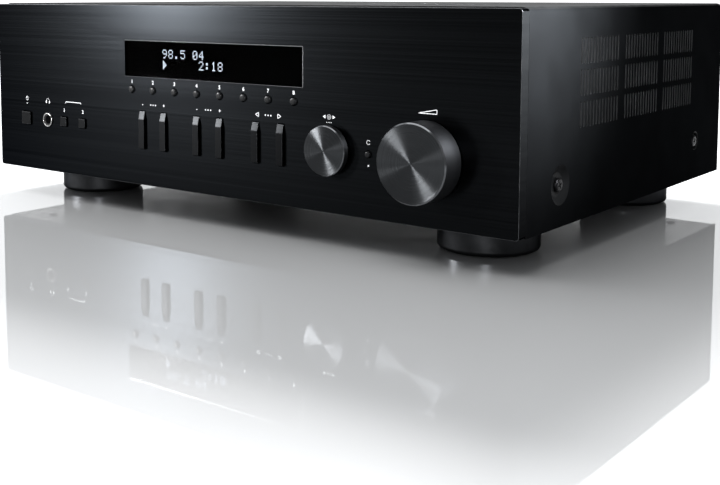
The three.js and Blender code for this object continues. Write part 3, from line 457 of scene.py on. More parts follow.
def cap_tree():
    """A closed cap with ribs round it, its axis along y, drawn with its outer end at the back."""
    tree, given = new_tree("ribbed_cap", Radius="Float", Length="Float", Ribs="Int", Rib_Radius="Float",
                           Place="Vector", Finish="Material")
    barrel = put(tree, "MeshCylinder", {
        "Vertices": 48, "Radius": given["Radius"], "Depth": given["Length"]})
    ring = put(tree, "MeshCircle", {"Vertices": given["Ribs"], "Radius": given["Radius"]})
    shorter = put(tree, "Math", {0: given["Length"], 1: 0.8}, operation="MULTIPLY")
    rib = put(tree, "MeshCylinder", {
        "Vertices": 8, "Radius": given["Rib Radius"], "Depth": shorter,
    })
    around = put(tree, "InstanceOnPoints", {"Points": ring, "Instance": rib})
    whole = put(tree, "JoinGeometry", {"Geometry": [barrel, around]})
    moved = put(tree, "Transform", {
        "Geometry": whole, "Rotation": (math.radians(-90), 0, 0),
        "Translation": given["Place"],
    })
    return end_tree(tree, moved, given["Finish"])


red_cap = new_finish("red_moulding", 0, {"Roughness": 0.35, "Specular IOR Level": 0.25})
tint(red_cap, 150, (0.25, 0.007, 0.006), (0.33, 0.011, 0.009))
emboss(red_cap, 2200, 0.02, 0.4)
caps = cap_tree()
red_caps = (1, 4, 5, 8)
for number in range(1, 9):
    cap_name = f"terminal_cap_{number}"
    low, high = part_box(cap_name)
    cap = new_object(cap_name + "_ribbed", bpy.data.meshes.new(cap_name))
    grow(cap, caps, {
        "Radius": 0.0060, "Length": high.y - low.y, "Ribs": 26, "Rib Radius": 0.0003,
        "Place": tuple((low + high) / 2), "Finish": red_cap if number in red_caps else moulding,
    })
    smooth(cap)
    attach(cap, f"cap_{number}")
    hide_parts(cap_name)


# Line jacks: a nickel-plated sleeve on each moulded collar, with a coloured insulator in its end.
# The lower row of four has red insulators and the upper row white ones.

def mesh_piece(name, drawing, *finishes):
    """Closes a drawing's seams, turns its faces outwards and makes it a piece in metres."""
    bmesh.ops.remove_doubles(drawing, verts=drawing.verts, dist=0.001)
    bmesh.ops.recalc_face_normals(drawing, faces=drawing.faces)
    bmesh.ops.scale(drawing, vec=(0.001, 0.001, 0.001), verts=drawing.verts)
    return draw_out(name, drawing, *finishes)


def soften(piece, angle):
    """Smooth shading that keeps the sharp edges and the flat faces."""
    smooth(piece, angle)
    weights = piece.modifiers.new("flat faces", "WEIGHTED_NORMAL")
    weights.keep_sharp = True
    weights.weight = 100
    return settle(piece)


def about_y(x, z):
    return lambda r, angle, along: (x + r * math.cos(angle), along, z + r * math.sin(angle))


def about_z(x, y):
    return lambda r, angle, along: (x + r * math.cos(angle), y + r * math.sin(angle), along)


def about_x(y, z):
    return lambda r, angle, along: (along, y + r * math.cos(angle), z + r * math.sin(angle))


def turn(drawing, profile, place, sides, slots=None, closed=False):
    """Turns a profile of (radius, distance along the axis) round an axis, as on a lathe.
    Its map runs along the profile and round the axis, so that tool marks can follow it."""
    brush = drawing.loops.layers.uv.get("Brush") or drawing.loops.layers.uv.new("Brush")
    rings = []
    for r, along in profile:
        if r == 0:
            rings.append([drawing.verts.new(place(0, 0, along))] * sides)
        else:
            angles = [2 * math.pi * i / sides for i in range(sides)]
            rings.append([drawing.verts.new(place(r, angle, along)) for angle in angles])
    travelled = 0
    for step in range(len(profile) if closed else len(profile) - 1):
        after = (step + 1) % len(profile)
        first, second = rings[step], rings[after]
        length = math.dist(profile[step], profile[after]) * 0.001
        for i in range(sides):
            j = (i + 1) % sides
            corners = [(first[i], 0, i), (first[j], 0, i + 1), (second[j], 1, i + 1), (second[i], 1, i)]
            if profile[step][0] == 0:
                corners = [(first[i], 0, i + 0.5), (second[j], 1, i + 1), (second[i], 1, i)]
            elif profile[after][0] == 0:
                corners = [(first[i], 0, i), (first[j], 0, i + 1), (second[i], 1, i + 0.5)]
            face = drawing.faces.new([corner[0] for corner in corners])
            face.material_index = slots[step] if slots else 0
            for loop, corner in zip(face.loops, corners):
                loop[brush].uv = (travelled + length * corner[1], corner[2] / sides)
        travelled += length
    return rings


nickel = new_finish("bright_nickel", 1)
roughen(nickel, 700, 0.1, 0.24)
tint(nickel, 200, (0.44, 0.435, 0.425), (0.54, 0.535, 0.525))
white_ring = new_finish("white_insulator", 0, {"Roughness": 0.4})
tint(white_ring, 400, (0.62, 0.62, 0.6), (0.74, 0.74, 0.72))


def jack_tree():
    """Sleeves, or the rings in their ends, in a row at one pitch."""
    tree, given = new_tree("jack_rows", Across="Int", Pitch="Float", Start="Vector", Finish="Material")
    step = put(tree, "CombineXYZ", {"X": given["Pitch"]})
    line = put(tree, "MeshLine", {
        "Count": given["Across"], "Start Location": given["Start"], "Offset": step,
    }, mode="OFFSET")
    placed = put(tree, "InstanceOnPoints", {"Points": line, "Instance": given["Geometry"]})
    return end_tree(tree, placed, given["Finish"])


jack_rows = jack_tree()
sleeve_profile = [(3.4, 159.6), (3.4, 160.2), (4.0, 160.4), (4.35, 160.1), (4.35, 152.4), (4.2, 152.4),
                  (4.2, 159.6)]
insulator_profile = [(1.75, 159.9), (1.75, 160.25), (3.35, 160.25), (3.35, 159.9)]
for row, jack_z, ring_finish in (("lower", 40.9, red_cap), ("upper", 56.9, white_ring)):
    for kind, profile, finish in (("sleeves", sleeve_profile, nickel),
                                  ("insulators", insulator_profile, ring_finish)):
        drawing = bmesh.new()
        turn(drawing, profile, about_y(0, 0), 32, closed=True)
        jacks = mesh_piece(f"jack_{kind}_{row}", drawing, finish)
        grow(jacks, jack_rows, {
            "Across": 4, "Pitch": 0.016, "Start": (0.03799, 0, jack_z * 0.001), "Finish": finish,
        })
        if kind == "sleeves":
            smooth(jacks)
        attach(jacks, "cabinet")


# Network module: a folded tinned screen over its board, with a cable socket and a threaded aerial
# connector in its face.

tin = new_finish("tinned_screen", 1)
tint(tin, 60, (0.19, 0.195, 0.2), (0.25, 0.255, 0.26))
roughen(tin, 500, 0.32, 0.42)
dress(tin, "network_module")


# Front panel: a thick extruded aluminium plate, milled out behind, brushed along its length and
# anodised black, with dull etched ends. The window opening is bevelled after anodising, so its edge
# is bare and bright, but the bevel's left side keeps the dark anodised finish as painted shade.

def rounded_loop(x, z, width, height, radius, steps):
    """Points (x, z) round a rectangle with rounded corners, a slot or a circle."""
    points = []
    for across, up, start in ((1, -1, -90), (1, 1, 0), (-1, 1, 90), (-1, -1, 180)):
        cx = x + across * (width / 2 - radius)
        cz = z + up * (height / 2 - radius)
        for i in range(steps + 1):
            angle = math.radians(start + 90 * i / steps)
            point = (cx + radius * math.cos(angle), cz + radius * math.sin(angle))
            if not points or math.dist(point, points[-1]) > 1e-4:
                points.append(point)
    if math.dist(points[0], points[-1]) < 1e-4:
        points.pop()
    return points


def ring_at(drawing, points, y):
    return [drawing.verts.new((x, y, z)) for x, z in points]


def walls(drawing, rings, slots=None):
    """Bands of faces between rings that have the same number of points."""
    for number, (near, far) in enumerate(zip(rings, rings[1:])):
        for i in range(len(near)):
            j = (i + 1) % len(near)
            face = drawing.faces.new((near[i], near[j], far[j], far[i]))
            face.material_index = slots[number] if slots else 0


def flat(drawing, outer, holes):
    """A flat face with holes in it, made of triangles."""
    loops = [outer] + holes
    corners = [corner for loop in loops for corner in loop]
    for a, b, c in tessellate_polygon([[corner.co for corner in loop] for loop in loops]):
        drawing.faces.new((corners[a], corners[b], corners[c]))


def brush_along(drawing):
    """A map whose first direction runs across the brush marks, so that light spreads that way."""
    brush = drawing.loops.layers.uv.get("Brush") or drawing.loops.layers.uv.new("Brush")
    drawing.normal_update()
    for face in drawing.faces:
        for loop in face.loops:
            x, y, z = loop.vert.co * 0.001
            if abs(face.normal.z) > 0.8:
                loop[brush].uv = (y, x)
            elif abs(face.normal.x) > 0.8:
                loop[brush].uv = (z, y)
            else:
                loop[brush].uv = (z, x)


def tooled_finish(name, spread):
    """Metal whose highlight spreads across its tool marks, which follow the map."""
    finish = new_finish(name, 1, {"Anisotropic": spread})
    marks = put(finish, "Tangent", {}, direction_type="UV_MAP", uv_map="Brush")
    drive(finish, "Tangent", marks)
    return finish


def brushed_finish(name, colour, roughness, spread, lines):
    """Anodised metal with fine straight brush marks along x."""
    finish = tooled_finish(name, spread)
    tone = Vector(colour)
    tint(finish, (1.6, lines, lines), tone * 0.78, tone * 1.26, 0.3, 0.7)
    rubbed = (2.4, lines * 1.3, lines * 1.3)
    roughen(finish, rubbed, roughness * 0.93, roughness * 1.07, detail=3)
    emboss(finish, (3, lines * 2.5, lines * 2.5), 0.003, 0.4, detail=2)
    return finish


panel_z, panel_width, panel_height = 80.2, 435, 120.4
panel_front, panel_face_back, panel_back = -153, -150, -145.5
panel_corner, panel_edge, panel_wall = 2.0, 0.35, 2.5
window_bevel, window_bevel_slope, window_bevel_trim = 0.36, 0.35, 0.112
control_z, round_key_z = 57.2, 84.1
round_key_x = [-72.5 + 20 * number for number in range(8)]
tall_key_x = [-62.5, -42.5, -12.5, 7.5, 37.5, 57.5]
power_key_x, speaker_key_x, phones_x = -185.40, (-143.50, -123.50), -161.60
select_x, return_key_x, volume_x = 94.00, 122.10, 161.21

drawing = bmesh.new()
outline = [(panel_edge, panel_front), (panel_edge * 0.3, panel_front + panel_edge * 0.3),
           (0, panel_front + panel_edge), (0, panel_back)]
outer_rings = []
for inset, y in outline:
    outer_rings.append(ring_at(drawing, rounded_loop(
        0, panel_z, panel_width - 2 * inset, panel_height - 2 * inset, panel_corner - inset, 6), y))
pocket = rounded_loop(0, panel_z, panel_width - 2 * panel_wall, panel_height - 2 * panel_wall, 0.6, 6)
outer_rings.append(ring_at(drawing, pocket, panel_back))
outer_rings.append(ring_at(drawing, pocket, panel_face_back))
walls(drawing, outer_rings, [2, 2, 0, 0, 0])

# Each opening's middle, width, height, corner radius, steps to a corner, bevel, and finish of the bevel.
openings = [(-2.5, 104.7, 153.5, 24, 0.3, 2, window_bevel, 1)]
openings += [(x, round_key_z, 5.1, 5.1, 2.55, 8, 0.25, 0) for x in round_key_x]
openings.append((return_key_x, control_z, 4.3, 4.3, 2.15, 8, 0.2, 0))
openings += [(x, control_z, 5.8, 25.8, 0.4, 2, 0.2, 0) for x in tall_key_x]
openings.append((power_key_x, control_z, 10.4, 9.8, 0.5, 2, 0.2, 0))
openings += [(x, control_z, 7.2, 7.2, 0.5, 2, 0.2, 0) for x in speaker_key_x]
openings.append((phones_x, control_z, 9.6, 9.6, 4.8, 10, 0.15, 0))
openings += [(x, control_z, 8, 8, 4, 10, 0.15, 0) for x in (select_x, volume_x)]
front_loops, back_loops = [], []
for x, z, width, height, radius, steps, edge, slot in openings:
    trim = window_bevel_trim if slot else 0
    front = ring_at(drawing, rounded_loop(
        x, z + trim, width + 2 * edge, height + 2 * edge - 2 * trim, radius + edge, steps), panel_front)
    depth = edge * window_bevel_slope if slot else edge
    hole = rounded_loop(x, z, width, height, radius, steps)
    middle, back = ring_at(drawing, hole, panel_front + depth), ring_at(drawing, hole, panel_face_back)
    walls(drawing, [front, middle, back], [slot, 0])
    # The window bevel's left side keeps the dark anodised finish, as painted shade.
    if slot:
        for face in drawing.faces:
            if face.material_index == 1 and face.calc_center_median().x < x - width / 2 + 0.05:
                face.material_index = 0
    front_loops.append(front)
    back_loops.append(back)
flat(drawing, outer_rings[0], front_loops)
flat(drawing, outer_rings[-1], back_loops)
bmesh.ops.recalc_face_normals(drawing, faces=drawing.faces)
for face in drawing.faces:
    if abs(face.normal.x) > 0.9 and abs(face.calc_center_median().x) > panel_width / 2 - 0.1:
        face.material_index = 3
brush_along(drawing)

anodised = brushed_finish("brushed_black_aluminium", (0.0073, 0.008, 0.0088), 0.25, 0.45, 1250)
shader_inputs(anodised)["Specular Tint"].default_value = (0.3, 0.3, 0.32, 1)
cut_edge = new_finish("diamond_cut_edge", 1)
roughen(cut_edge, (30, 2500, 2500), 0.14, 0.28)
tint(cut_edge, (15, 600, 600), (0.19, 0.195, 0.2), (0.25, 0.257, 0.265))
rubbed_edge = new_finish("rubbed_panel_edge", 1)
roughen(rubbed_edge, 300, 0.25, 0.4)
tint(rubbed_edge, 120, (0.045, 0.047, 0.05), (0.09, 0.093, 0.098))
sawn_end = new_finish("etched_panel_end", 0, {"Specular IOR Level": 0.0})
tint(sawn_end, (200, 30, 900), (0.0038, 0.0041, 0.0045), (0.005, 0.0054, 0.0058))
roughen(sawn_end, 400, 0.42, 0.55)
front_panel = soften(mesh_piece("front_panel_plate", drawing, anodised, cut_edge, rubbed_edge, sawn_end), 40)
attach(front_panel, "cabinet")
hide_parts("front_panel")


# Display: a glass cell on its own small board, with two lines of lit dots, behind a smoked clear
# acrylic window that is set back in the bevelled opening.

glass = new_finish("display_glass", 0, {"Roughness": 0.12, "Specular IOR Level": 0.03})
tint(glass, (50, 50, 900), (0.0012, 0.0012, 0.0015), (0.0024, 0.0024, 0.0028))
dress(glass, "display_module")

smoked = new_finish("smoked_acrylic", 0, {
    "Roughness": 0.03, "Transmission Weight": 1.0, "IOR": 1.08, "Specular IOR Level": 0.015,
})
tint(smoked, 8, (0.2, 0.2, 0.215), (0.24, 0.24, 0.255))
dress(smoked, "display_window")

lit = new_finish("lit_dots", 0, {"Emission Color": (0.82, 0.92, 1.0, 1), "Emission Strength": 7})
tint(lit, 900, (0.7, 0.75, 0.8), (0.85, 0.9, 0.95))

numeral_rows = {
    "0": (" ### ", "#   #", "#  ##", "# # #", "##  #", "#   #", " ### "),
    "1": ("  #  ", " ##  ", "  #  ", "  #  ", "  #  ", "  #  ", " ### "),
    "2": (" ### ", "#   #", "    #", "   # ", "  #  ", " #   ", "#####"),
    "4": ("   # ", "  ## ", " # # ", "#  # ", "#####", "   # ", "   # "),
    "5": ("#####", "#    ", "#### ", "    #", "    #", "#   #", " ### "),
    "8": (" ### ", "#   #", "#   #", " ### ", "#   #", "#   #", " ### "),
    "9": (" ### ", "#   #", "#   #", " ####", "    #", "   # ", " ##  "),
    ".": ("     ", "     ", "     ", "     ", "     ", " ##  ", " ##  "),
    ":": ("     ", " ##  ", " ##  ", "     ", " ##  ", " ##  ", "     "),
    ">": ("#    ", "##   ", "###  ", "#### ", "###  ", "##   ", "#    "),
    " ": ("     ",) * 7,
}
dot_pitch, letter_pitch, dot_y = 0.84, 6.6, -148.45
dot_places = []
for text, left, top in (("98.5 04", -47.0, 110.9), (">", -46.6, 103.6), ("2:18", -14.0, 104.3)):
    for letter_number, letter in enumerate(text):
        for row_number, row in enumerate(numeral_rows[letter]):
            for column_number, mark in enumerate(row):
                if mark == "#":
                    dot_x = left + (letter_number * letter_pitch + column_number) * dot_pitch
                    dot_places.append((dot_x, dot_y, top - row_number * dot_pitch))


def dot_tree():
    """A small flat square dot on every point."""
    tree, given = new_tree("lit_dots", Dot_Size="Float", Finish="Material")
    dot = put(tree, "MeshGrid", {
        "Vertices X": 2, "Vertices Y": 2, "Size X": given["Dot Size"], "Size Y": given["Dot Size"],
    })
    placed = put(tree, "InstanceOnPoints", {
        "Points": given["Geometry"], "Instance": dot, "Rotation": (math.radians(90), 0, 0),
    })
    return end_tree(tree, placed, given["Finish"])


display_dots = points_object("display_numerals", dot_places)
grow(display_dots, dot_tree(), {"Dot Size": 0.0006, "Finish": lit})
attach(display_dots, "cabinet")


# Keys: eight small domed round keys and the return key in black plastic, six tall keys whose tops
# slope back, and three square keys in brushed black metal. Each has a lip behind the front panel.

key_black = new_finish("satin_black_key", 0, {"Specular IOR Level": 0.13})
tint(key_black, 300, (0.004, 0.0042, 0.0046), (0.0065, 0.0068, 0.0074))
roughen(key_black, 1200, 0.25, 0.35)
emboss(key_black, 2500, 0.01, 0.3)
key_metal = brushed_finish("brushed_black_key", (0.0022, 0.0024, 0.0027), 0.36, 0.5, 1800)
# A lighter copy of the key metal for the sloping top facets, as painted light.
facet_metal_painted_light = brushed_finish("brushed_facet_painted_light", (0.0095, 0.01, 0.0107), 0.36, 0.5, 1800)
# A brighter metal for the key bevels that face right or up, as painted highlight.
bevel_metal_painted_highlight = brushed_finish("bevel_painted_highlight_finish", (0.05, 0.052, 0.055), 0.32, 0.4, 900)


lip_front, lip_back, lip_reach, key_seat = -149.7, -148.7, 1.1, -148.9


def round_key(name, body, x, z, radius):
    lip = radius + lip_reach
    drawing = bmesh.new()
    turn(drawing, [
        (0, -154.4), (radius * 0.5, -154.39), (radius * 0.84, -154.35), (radius * 0.93, -154.26),
        (radius * 0.98, -154.12), (radius, -153.9), (radius, lip_front), (lip, lip_front),
        (lip, lip_back), (0, lip_back),
    ], about_y(x, z), 40)
    piece = soften(mesh_piece(name + "_dome", drawing, key_black), 50)
    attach(piece, body)
    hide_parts(name)


round_bodies = ["display", "mode", "memory", "band", "preset_down", "preset_up", "tuning_down", "tuning_up"]
for body, x in zip(round_bodies, round_key_x):
    round_key(body + "_key", body, x, round_key_z, 2.15)
round_key("return_key", "return", return_key_x, control_z, 1.75)


def bar_key(body, x, profile, width, edge):
    """A key whose side view is the profile of (y, z), with softened edges and a lip behind."""
    drawing = bmesh.new()
    side = [drawing.verts.new((x - width / 2, y, z)) for y, z in profile]
    pulled = bmesh.ops.extrude_face_region(drawing, geom=[drawing.faces.new(side)])
    corners = [part for part in pulled["geom"] if isinstance(part, bmesh.types.BMVert)]
    bmesh.ops.translate(drawing, verts=corners, vec=(width, 0, 0))
    bmesh.ops.recalc_face_normals(drawing, faces=drawing.faces)
    front_edges = [e for e in drawing.edges if min(v.co.y for v in e.verts) < panel_face_back]
    bmesh.ops.bevel(drawing, geom=front_edges, offset=edge, segments=3, profile=0.5, affect="EDGES")
    low_z = min(z for y, z in profile) - lip_reach
    high_z = max(z for y, z in profile) + lip_reach
    lip = bmesh.ops.create_cube(drawing, size=1)["verts"]
    bmesh.ops.scale(drawing, verts=lip, vec=(width + 2 * lip_reach, lip_back - lip_front, high_z - low_z))
    bmesh.ops.translate(drawing, verts=lip, vec=(x, (lip_front + lip_back) / 2, (low_z + high_z) / 2))
    bmesh.ops.recalc_face_normals(drawing, faces=drawing.faces)
    for face in drawing.faces:
        # Top facets that slope up and forward take the lighter copy of the key metal, as painted light.
        if 0.2 < face.normal.z < 0.32 and face.normal.y < -0.9:
            face.material_index = 1
        # Bevels that face right or up take the brighter metal, as painted highlight.
        elif face.normal.y < -0.3 and (0.3 < face.normal.x < 0.9 or 0.33 < face.normal.z < 0.9):
            face.material_index = 2
    brush_along(drawing)
    piece = soften(mesh_piece(body + "_key_bar", drawing, key_metal, facet_metal_painted_light, bevel_metal_painted_highlight), 50)
    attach(piece, body)
    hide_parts(body + "_key")


tall_low, tall_high = control_z - 12.5, control_z + 12.5
tall_profile = [(key_seat, tall_low), (-154.9, tall_low), (-154.9, tall_high - 5.4), (-153.5, tall_high),
                (key_seat, tall_high)]
tall_bodies = ["bass_down", "bass_up", "treble_down", "treble_up", "input_previous", "input_next"]
for body, x in zip(tall_bodies, tall_key_x):
    bar_key(body, x, tall_profile, 5, 0.25)


def square_profile(front, height):
    low, high = control_z - height / 2, control_z + height / 2
    return [(key_seat, low), (front, low), (front, high), (key_seat, high)]


bar_key("power", power_key_x, square_profile(-154.5, 9), 9.6, 0.35)
for body, x in zip(("speaker_a", "speaker_b"), speaker_key_x):
    bar_key(body, x, square_profile(-154.4, 6.4), 6.4, 0.3)


# Headphone jack: a bright turned ring screwed onto a moulded barrel, which is open at the front and
# has a square block behind the panel.

drawing = bmesh.new()
turn(drawing, [
    (4.0, -152.6), (4.0, -153.6), (4.2, -154.0), (4.5, -154.2), (4.8, -154.1), (5.05, -153.75),
    (5.1, -153.05), (4.6, -153.05), (4.6, -152.6),
], about_y(phones_x, control_z), 48, closed=True)
phones_ring = soften(mesh_piece("phones_ring", drawing, nickel), 50)
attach(phones_ring, "cabinet")
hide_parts("phones_jack")

drawing = bmesh.new()
rings = turn(drawing, [(0, -125), (3.2, -125), (3.2, -153.2), (4.5, -153.2), (4.5, -146.9)],
             about_y(phones_x, control_z), 48)
block = rounded_loop(phones_x, control_z, 12, 12, 0.5, 3)
block_front, block_back = ring_at(drawing, block, -146.9), ring_at(drawing, block, -121)
flat(drawing, block_front, [rings[-1]])
walls(drawing, [block_front, block_back])
flat(drawing, block_back, [])
phones_barrel = soften(mesh_piece("phones_barrel", drawing, moulding), 40)
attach(phones_barrel, "cabinet")
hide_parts("phones_jack")


# Knobs: turned from aluminium bar and anodised black, with a spun face, a polished chamfer and a
# satin side. Each is pushed onto its shaft and stands just clear of the panel.

def spun_finish(name, colour, roughness, spread, depth):
    """Anodised metal with fine turning marks round its axis, which follow the lathe's map."""
    finish = tooled_finish(name, spread)
    where = put(finish, "UVMap", {}, uv_map="Brush")
    stretched = put(finish, "Mapping", {"Vector": where, "Scale": (7000, 3, 1)})
    marks = put(finish, "TexNoise", {
        "Vector": stretched, "Scale": 1, "Detail": 3,
    })
    tone = Vector(colour)
    tint(finish, marks, tone * 0.75, tone * 1.25, 0.3, 0.7)
    roughen(finish, marks, roughness * 0.85, roughness * 1.2)
    emboss(finish, marks, depth, 0.5)
    return finish


spun_face = spun_finish("spun_black_face", (0.046, 0.0485, 0.0515), 0.24, 1.0, 0.002)
spun_edge = spun_finish("polished_chamfer", (0.15, 0.156, 0.165), 0.15, 0.3, 0.002)
spun_side = spun_finish("satin_black_side", (0.029, 0.0305, 0.0335), 0.42, 0.4, 0.003)


def knob(body, x, radius, face_y, back_y, edge, dome, dish):
    """A knob whose face falls away towards its rim by the dome, or towards its middle by the dish."""
    profile = [(0, face_y + dish)]
    for part in range(1, 13):
        share = (part / 12) ** 2
        profile.append(((radius - edge) * part / 12, face_y + dome * share + dish * (1 - share)))
    profile += [(radius, face_y + dome + edge), (radius, back_y - 0.5), (radius - 0.4, back_y),
                (3.3, back_y), (3.3, face_y + 1.6), (0, face_y + 1.6)]
    drawing = bmesh.new()
    turn(drawing, profile, about_y(x, control_z), 160, [0] * 12 + [1, 2, 2, 2, 2, 2])
    piece = soften(mesh_piece(body + "_knob_turned", drawing, spun_face, spun_edge, spun_side), 30)
    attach(piece, body)
    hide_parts(body + "_knob")


knob("select", select_x, 14.8, -158.8, -153.9, 0.5, 0.25, 0)
knob("volume", volume_x, 22.3, -170, -153.7, 0.7, 0, 0.5)


# Printed signs: plain numerals and simple signs in pale ink, screened onto the front panel.
# They stand for nothing but the order of the keys and what is turned up or down.

print_y = panel_front - 0.02
tone_sign_z, sign_width = 74.4, 0.42
sign_places = [(x, print_y, 89.2) for x in round_key_x]
sign_places += [(x, print_y, tone_sign_z) for x in (-62.5, -12.5, -42.5, 7.5)]
sign_places += [(x, print_y, 65.1) for x in speaker_key_x]
front_signs = printed("front_numerals", "12345678--++12", sign_places, front_turn)
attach(front_signs, "cabinet")


def stroke_corners(a, b):
    """The corners of a stroke from one point to another, with its ends a little over the points."""
    along = (Vector(b) - Vector(a)).normalized() * sign_width / 2
    aside = Vector((-along.y, along.x))
    start, end = Vector(a) - along / 2, Vector(b) + along / 2
    return [start + aside, start - aside, end - aside, end + aside]


def arc(x, z, radius, start, end, steps=14):
    points = []
    for i in range(steps + 1):
        angle = math.radians(start + (end - start) * i / steps)
        points.append((x + radius * math.cos(angle), z + radius * math.sin(angle)))
    return points


def disc(x, z, radius):
    return arc(x, z, radius, 0, 330, 11)


strokes = [
    arc(power_key_x, 71.4, 1.3, 125, 415),
    [(power_key_x, 71.6), (power_key_x, 73.1)],
    arc(phones_x, 70.9, 1.7, 0, 180),
    [(-141.5, 71.4), (-125.5, 71.4)],
    [(-141.5, 71.4), (-141.5, 70.4)],
    [(-125.5, 71.4), (-125.5, 70.4)],
    [(volume_x - 6, 83.0), (volume_x + 6, 83.0), (volume_x + 6, 85.4), (volume_x - 6, 83.0)],
    [(37.3, 74.4), (39.9, 75.7), (39.9, 73.1), (37.3, 74.4)],
    [(57.7, 74.4), (55.1, 75.7), (55.1, 73.1), (57.7, 74.4)],
    arc(select_x, 76.6, 1.3, 0, 360, 20),
    arc(return_key_x, 64.0, 1.2, 40, 320),
]
shapes = [
    disc(power_key_x, 67.9, 0.4),
    [(phones_x - 2.2, 70.9), (phones_x - 1.2, 70.9), (phones_x - 1.2, 69.2), (phones_x - 2.2, 69.2)],
    [(phones_x + 1.2, 70.9), (phones_x + 2.2, 70.9), (phones_x + 2.2, 69.2), (phones_x + 1.2, 69.2)],
    [(select_x - 4.6, 76.6), (select_x - 2.6, 77.7), (select_x - 2.6, 75.5)],
    [(select_x + 4.6, 76.6), (select_x + 2.6, 75.5), (select_x + 2.6, 77.7)],
    disc(select_x, 76.6, 0.45),
    disc(return_key_x, 50.6, 0.5),
]
shapes += [disc(x + shift, tone_sign_z, 0.5) for x in (-52.5, -2.5, 47.5) for shift in (-2.2, 0, 2.2)]
shapes += [disc(select_x + shift, 73.4, 0.3) for shift in (-1.6, 0, 1.6)]
segments = [segment for stroke in strokes for segment in zip(stroke, stroke[1:])]
drawing = bmesh.new()
for shape in [stroke_corners(a, b) for a, b in segments] + shapes:
    drawing.faces.new(ring_at(drawing, shape, print_y))
drawing.normal_update()
for face in drawing.faces:
    if face.normal.y > 0:
        face.normal_flip()
bmesh.ops.scale(drawing, vec=(0.001, 0.001, 0.001), verts=drawing.verts)
drawn = draw_out("front_signs", drawing, ink)
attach(drawn, "cabinet")


# Cover: one steel sheet folded over the top and sides, with slots punched through it and a round
# dish pressed in for each screw. The top is in the rear panel's paint and the sides in a deader black.
# The paint in the dishes is lighter in their lower half and darker above, as painted light and shade.

cover_front, cover_back, cover_low, cover_high, cover_half = -145.2, 151, 20, 141, 217.5
sheet, bend = 1.0, 4.5
front_screw, rear_screw = (-105.9, 43.4), (103.0, 46.3)
dishes = [(*front_screw, 11.0, 7.0), (*rear_screw, 6.2, 4.8)]


def cover_line(inset, steps=8):
    """The cover's section as (x, z), from the left foot of the sheet over the top to the right."""
    half, high, radius = cover_half - inset, cover_high - inset, bend - inset
    line = [(-half, cover_low)]
    for middle, start in ((radius - half, math.pi), (half - radius, math.pi / 2)):
        for i in range(steps + 1):
            angle = start - math.pi / 2 * i / steps
            line.append((radius * math.cos(angle) + middle, radius * math.sin(angle) + high - radius))
    line.append((half, cover_low))
    return line


side_paint = new_finish("matt_black_paint", 0, {"Specular IOR Level": 0.0})
tint(side_paint, 45, (0.0036, 0.0039, 0.0043), (0.0044, 0.0048, 0.0053))
roughen(side_paint, 260, 0.45, 0.55)
emboss(side_paint, 1500, 0.012, 0.3, detail=3)
wear_edges(side_paint, (0.03, 0.031, 0.033), 0.5)

# Paint for the dishes, lighter towards each dish's lower half and darker above, as painted light and shade.
dish_finish_painted_light = new_finish("dishes_painted_light_and_shade", 0, {"Specular IOR Level": 0.04})
dish_where = put(dish_finish_painted_light, "TexCoord", {}, "Object")
dish_height = put(dish_finish_painted_light, "SeparateXYZ", {"Vector": dish_where}, "Z")
painted_dish_shading = put(dish_finish_painted_light, "MapRange", {
    "Value": dish_height, "From Min": 0.052, "From Max": 0.042,
})
tint(dish_finish_painted_light, painted_dish_shading, (0.0015, 0.0016, 0.0018), (0.0074, 0.0078, 0.0084), 0, 1)
roughen(dish_finish_painted_light, 300, 0.34, 0.46)
emboss(dish_finish_painted_light, 1500, 0.012, 0.3, detail=3)

drawing = bmesh.new()
skins = []
for inset in (0, sheet):
    line = cover_line(inset)
    near, far = ring_at(drawing, line, cover_front), ring_at(drawing, line, cover_back)
    skins.append((near, far))
    for i in range(1, len(line) - 2):
        drawing.faces.new((near[i], near[i + 1], far[i + 1], far[i]))
outer, inner = skins
for outside, inside in zip(outer, inner):
    for i in range(len(outside) - 1):
        drawing.faces.new((outside[i], outside[i + 1], inside[i + 1], inside[i]))
for end in (0, -1):
    drawing.faces.new((outer[0][end], outer[1][end], inner[1][end], inner[0][end]))
for sign, end, next_end in ((-1, 0, 1), (1, -1, -2)):
    outside, inside = [], []
    for y, z, wide, deep in dishes:
        profile = [(wide + 0.7, 0), (wide + 0.2, 0.12), (wide - 0.3, 0.4), (deep + 0.5, 2.15), (deep, 2.42),
                   (deep - 0.6, 2.5), (2.2, 2.5), (2.2, 3.5), (deep - 0.6, 3.5), (wide + 0.2, 1.2),
                   (wide + 0.7, 1.0)]
        rings = turn(drawing, [(r, sign * (cover_half - depth)) for r, depth in profile], about_x(y, z), 40)
        outside.append(rings[0])
        inside.append(rings[-1])
    for (near, far), holes in ((outer, outside), (inner, inside)):
        flat(drawing, [near[end], near[next_end], far[next_end], far[end]], holes)
cover = mesh_piece("folded_cover", drawing, paint, side_paint, dish_finish_painted_light)
for face in cover.data.polygons:
    middle = face.center * 1000
    if abs(face.normal.x) > 0.75:
        face.material_index = 1
    # Faces inside each dish take the paint with painted light and shade.
    for y, z, wide, deep in dishes:
        if math.dist((middle.y, middle.z), (y, z)) < wide and abs(middle.x) > cover_half - 2.8:
            face.material_index = 2


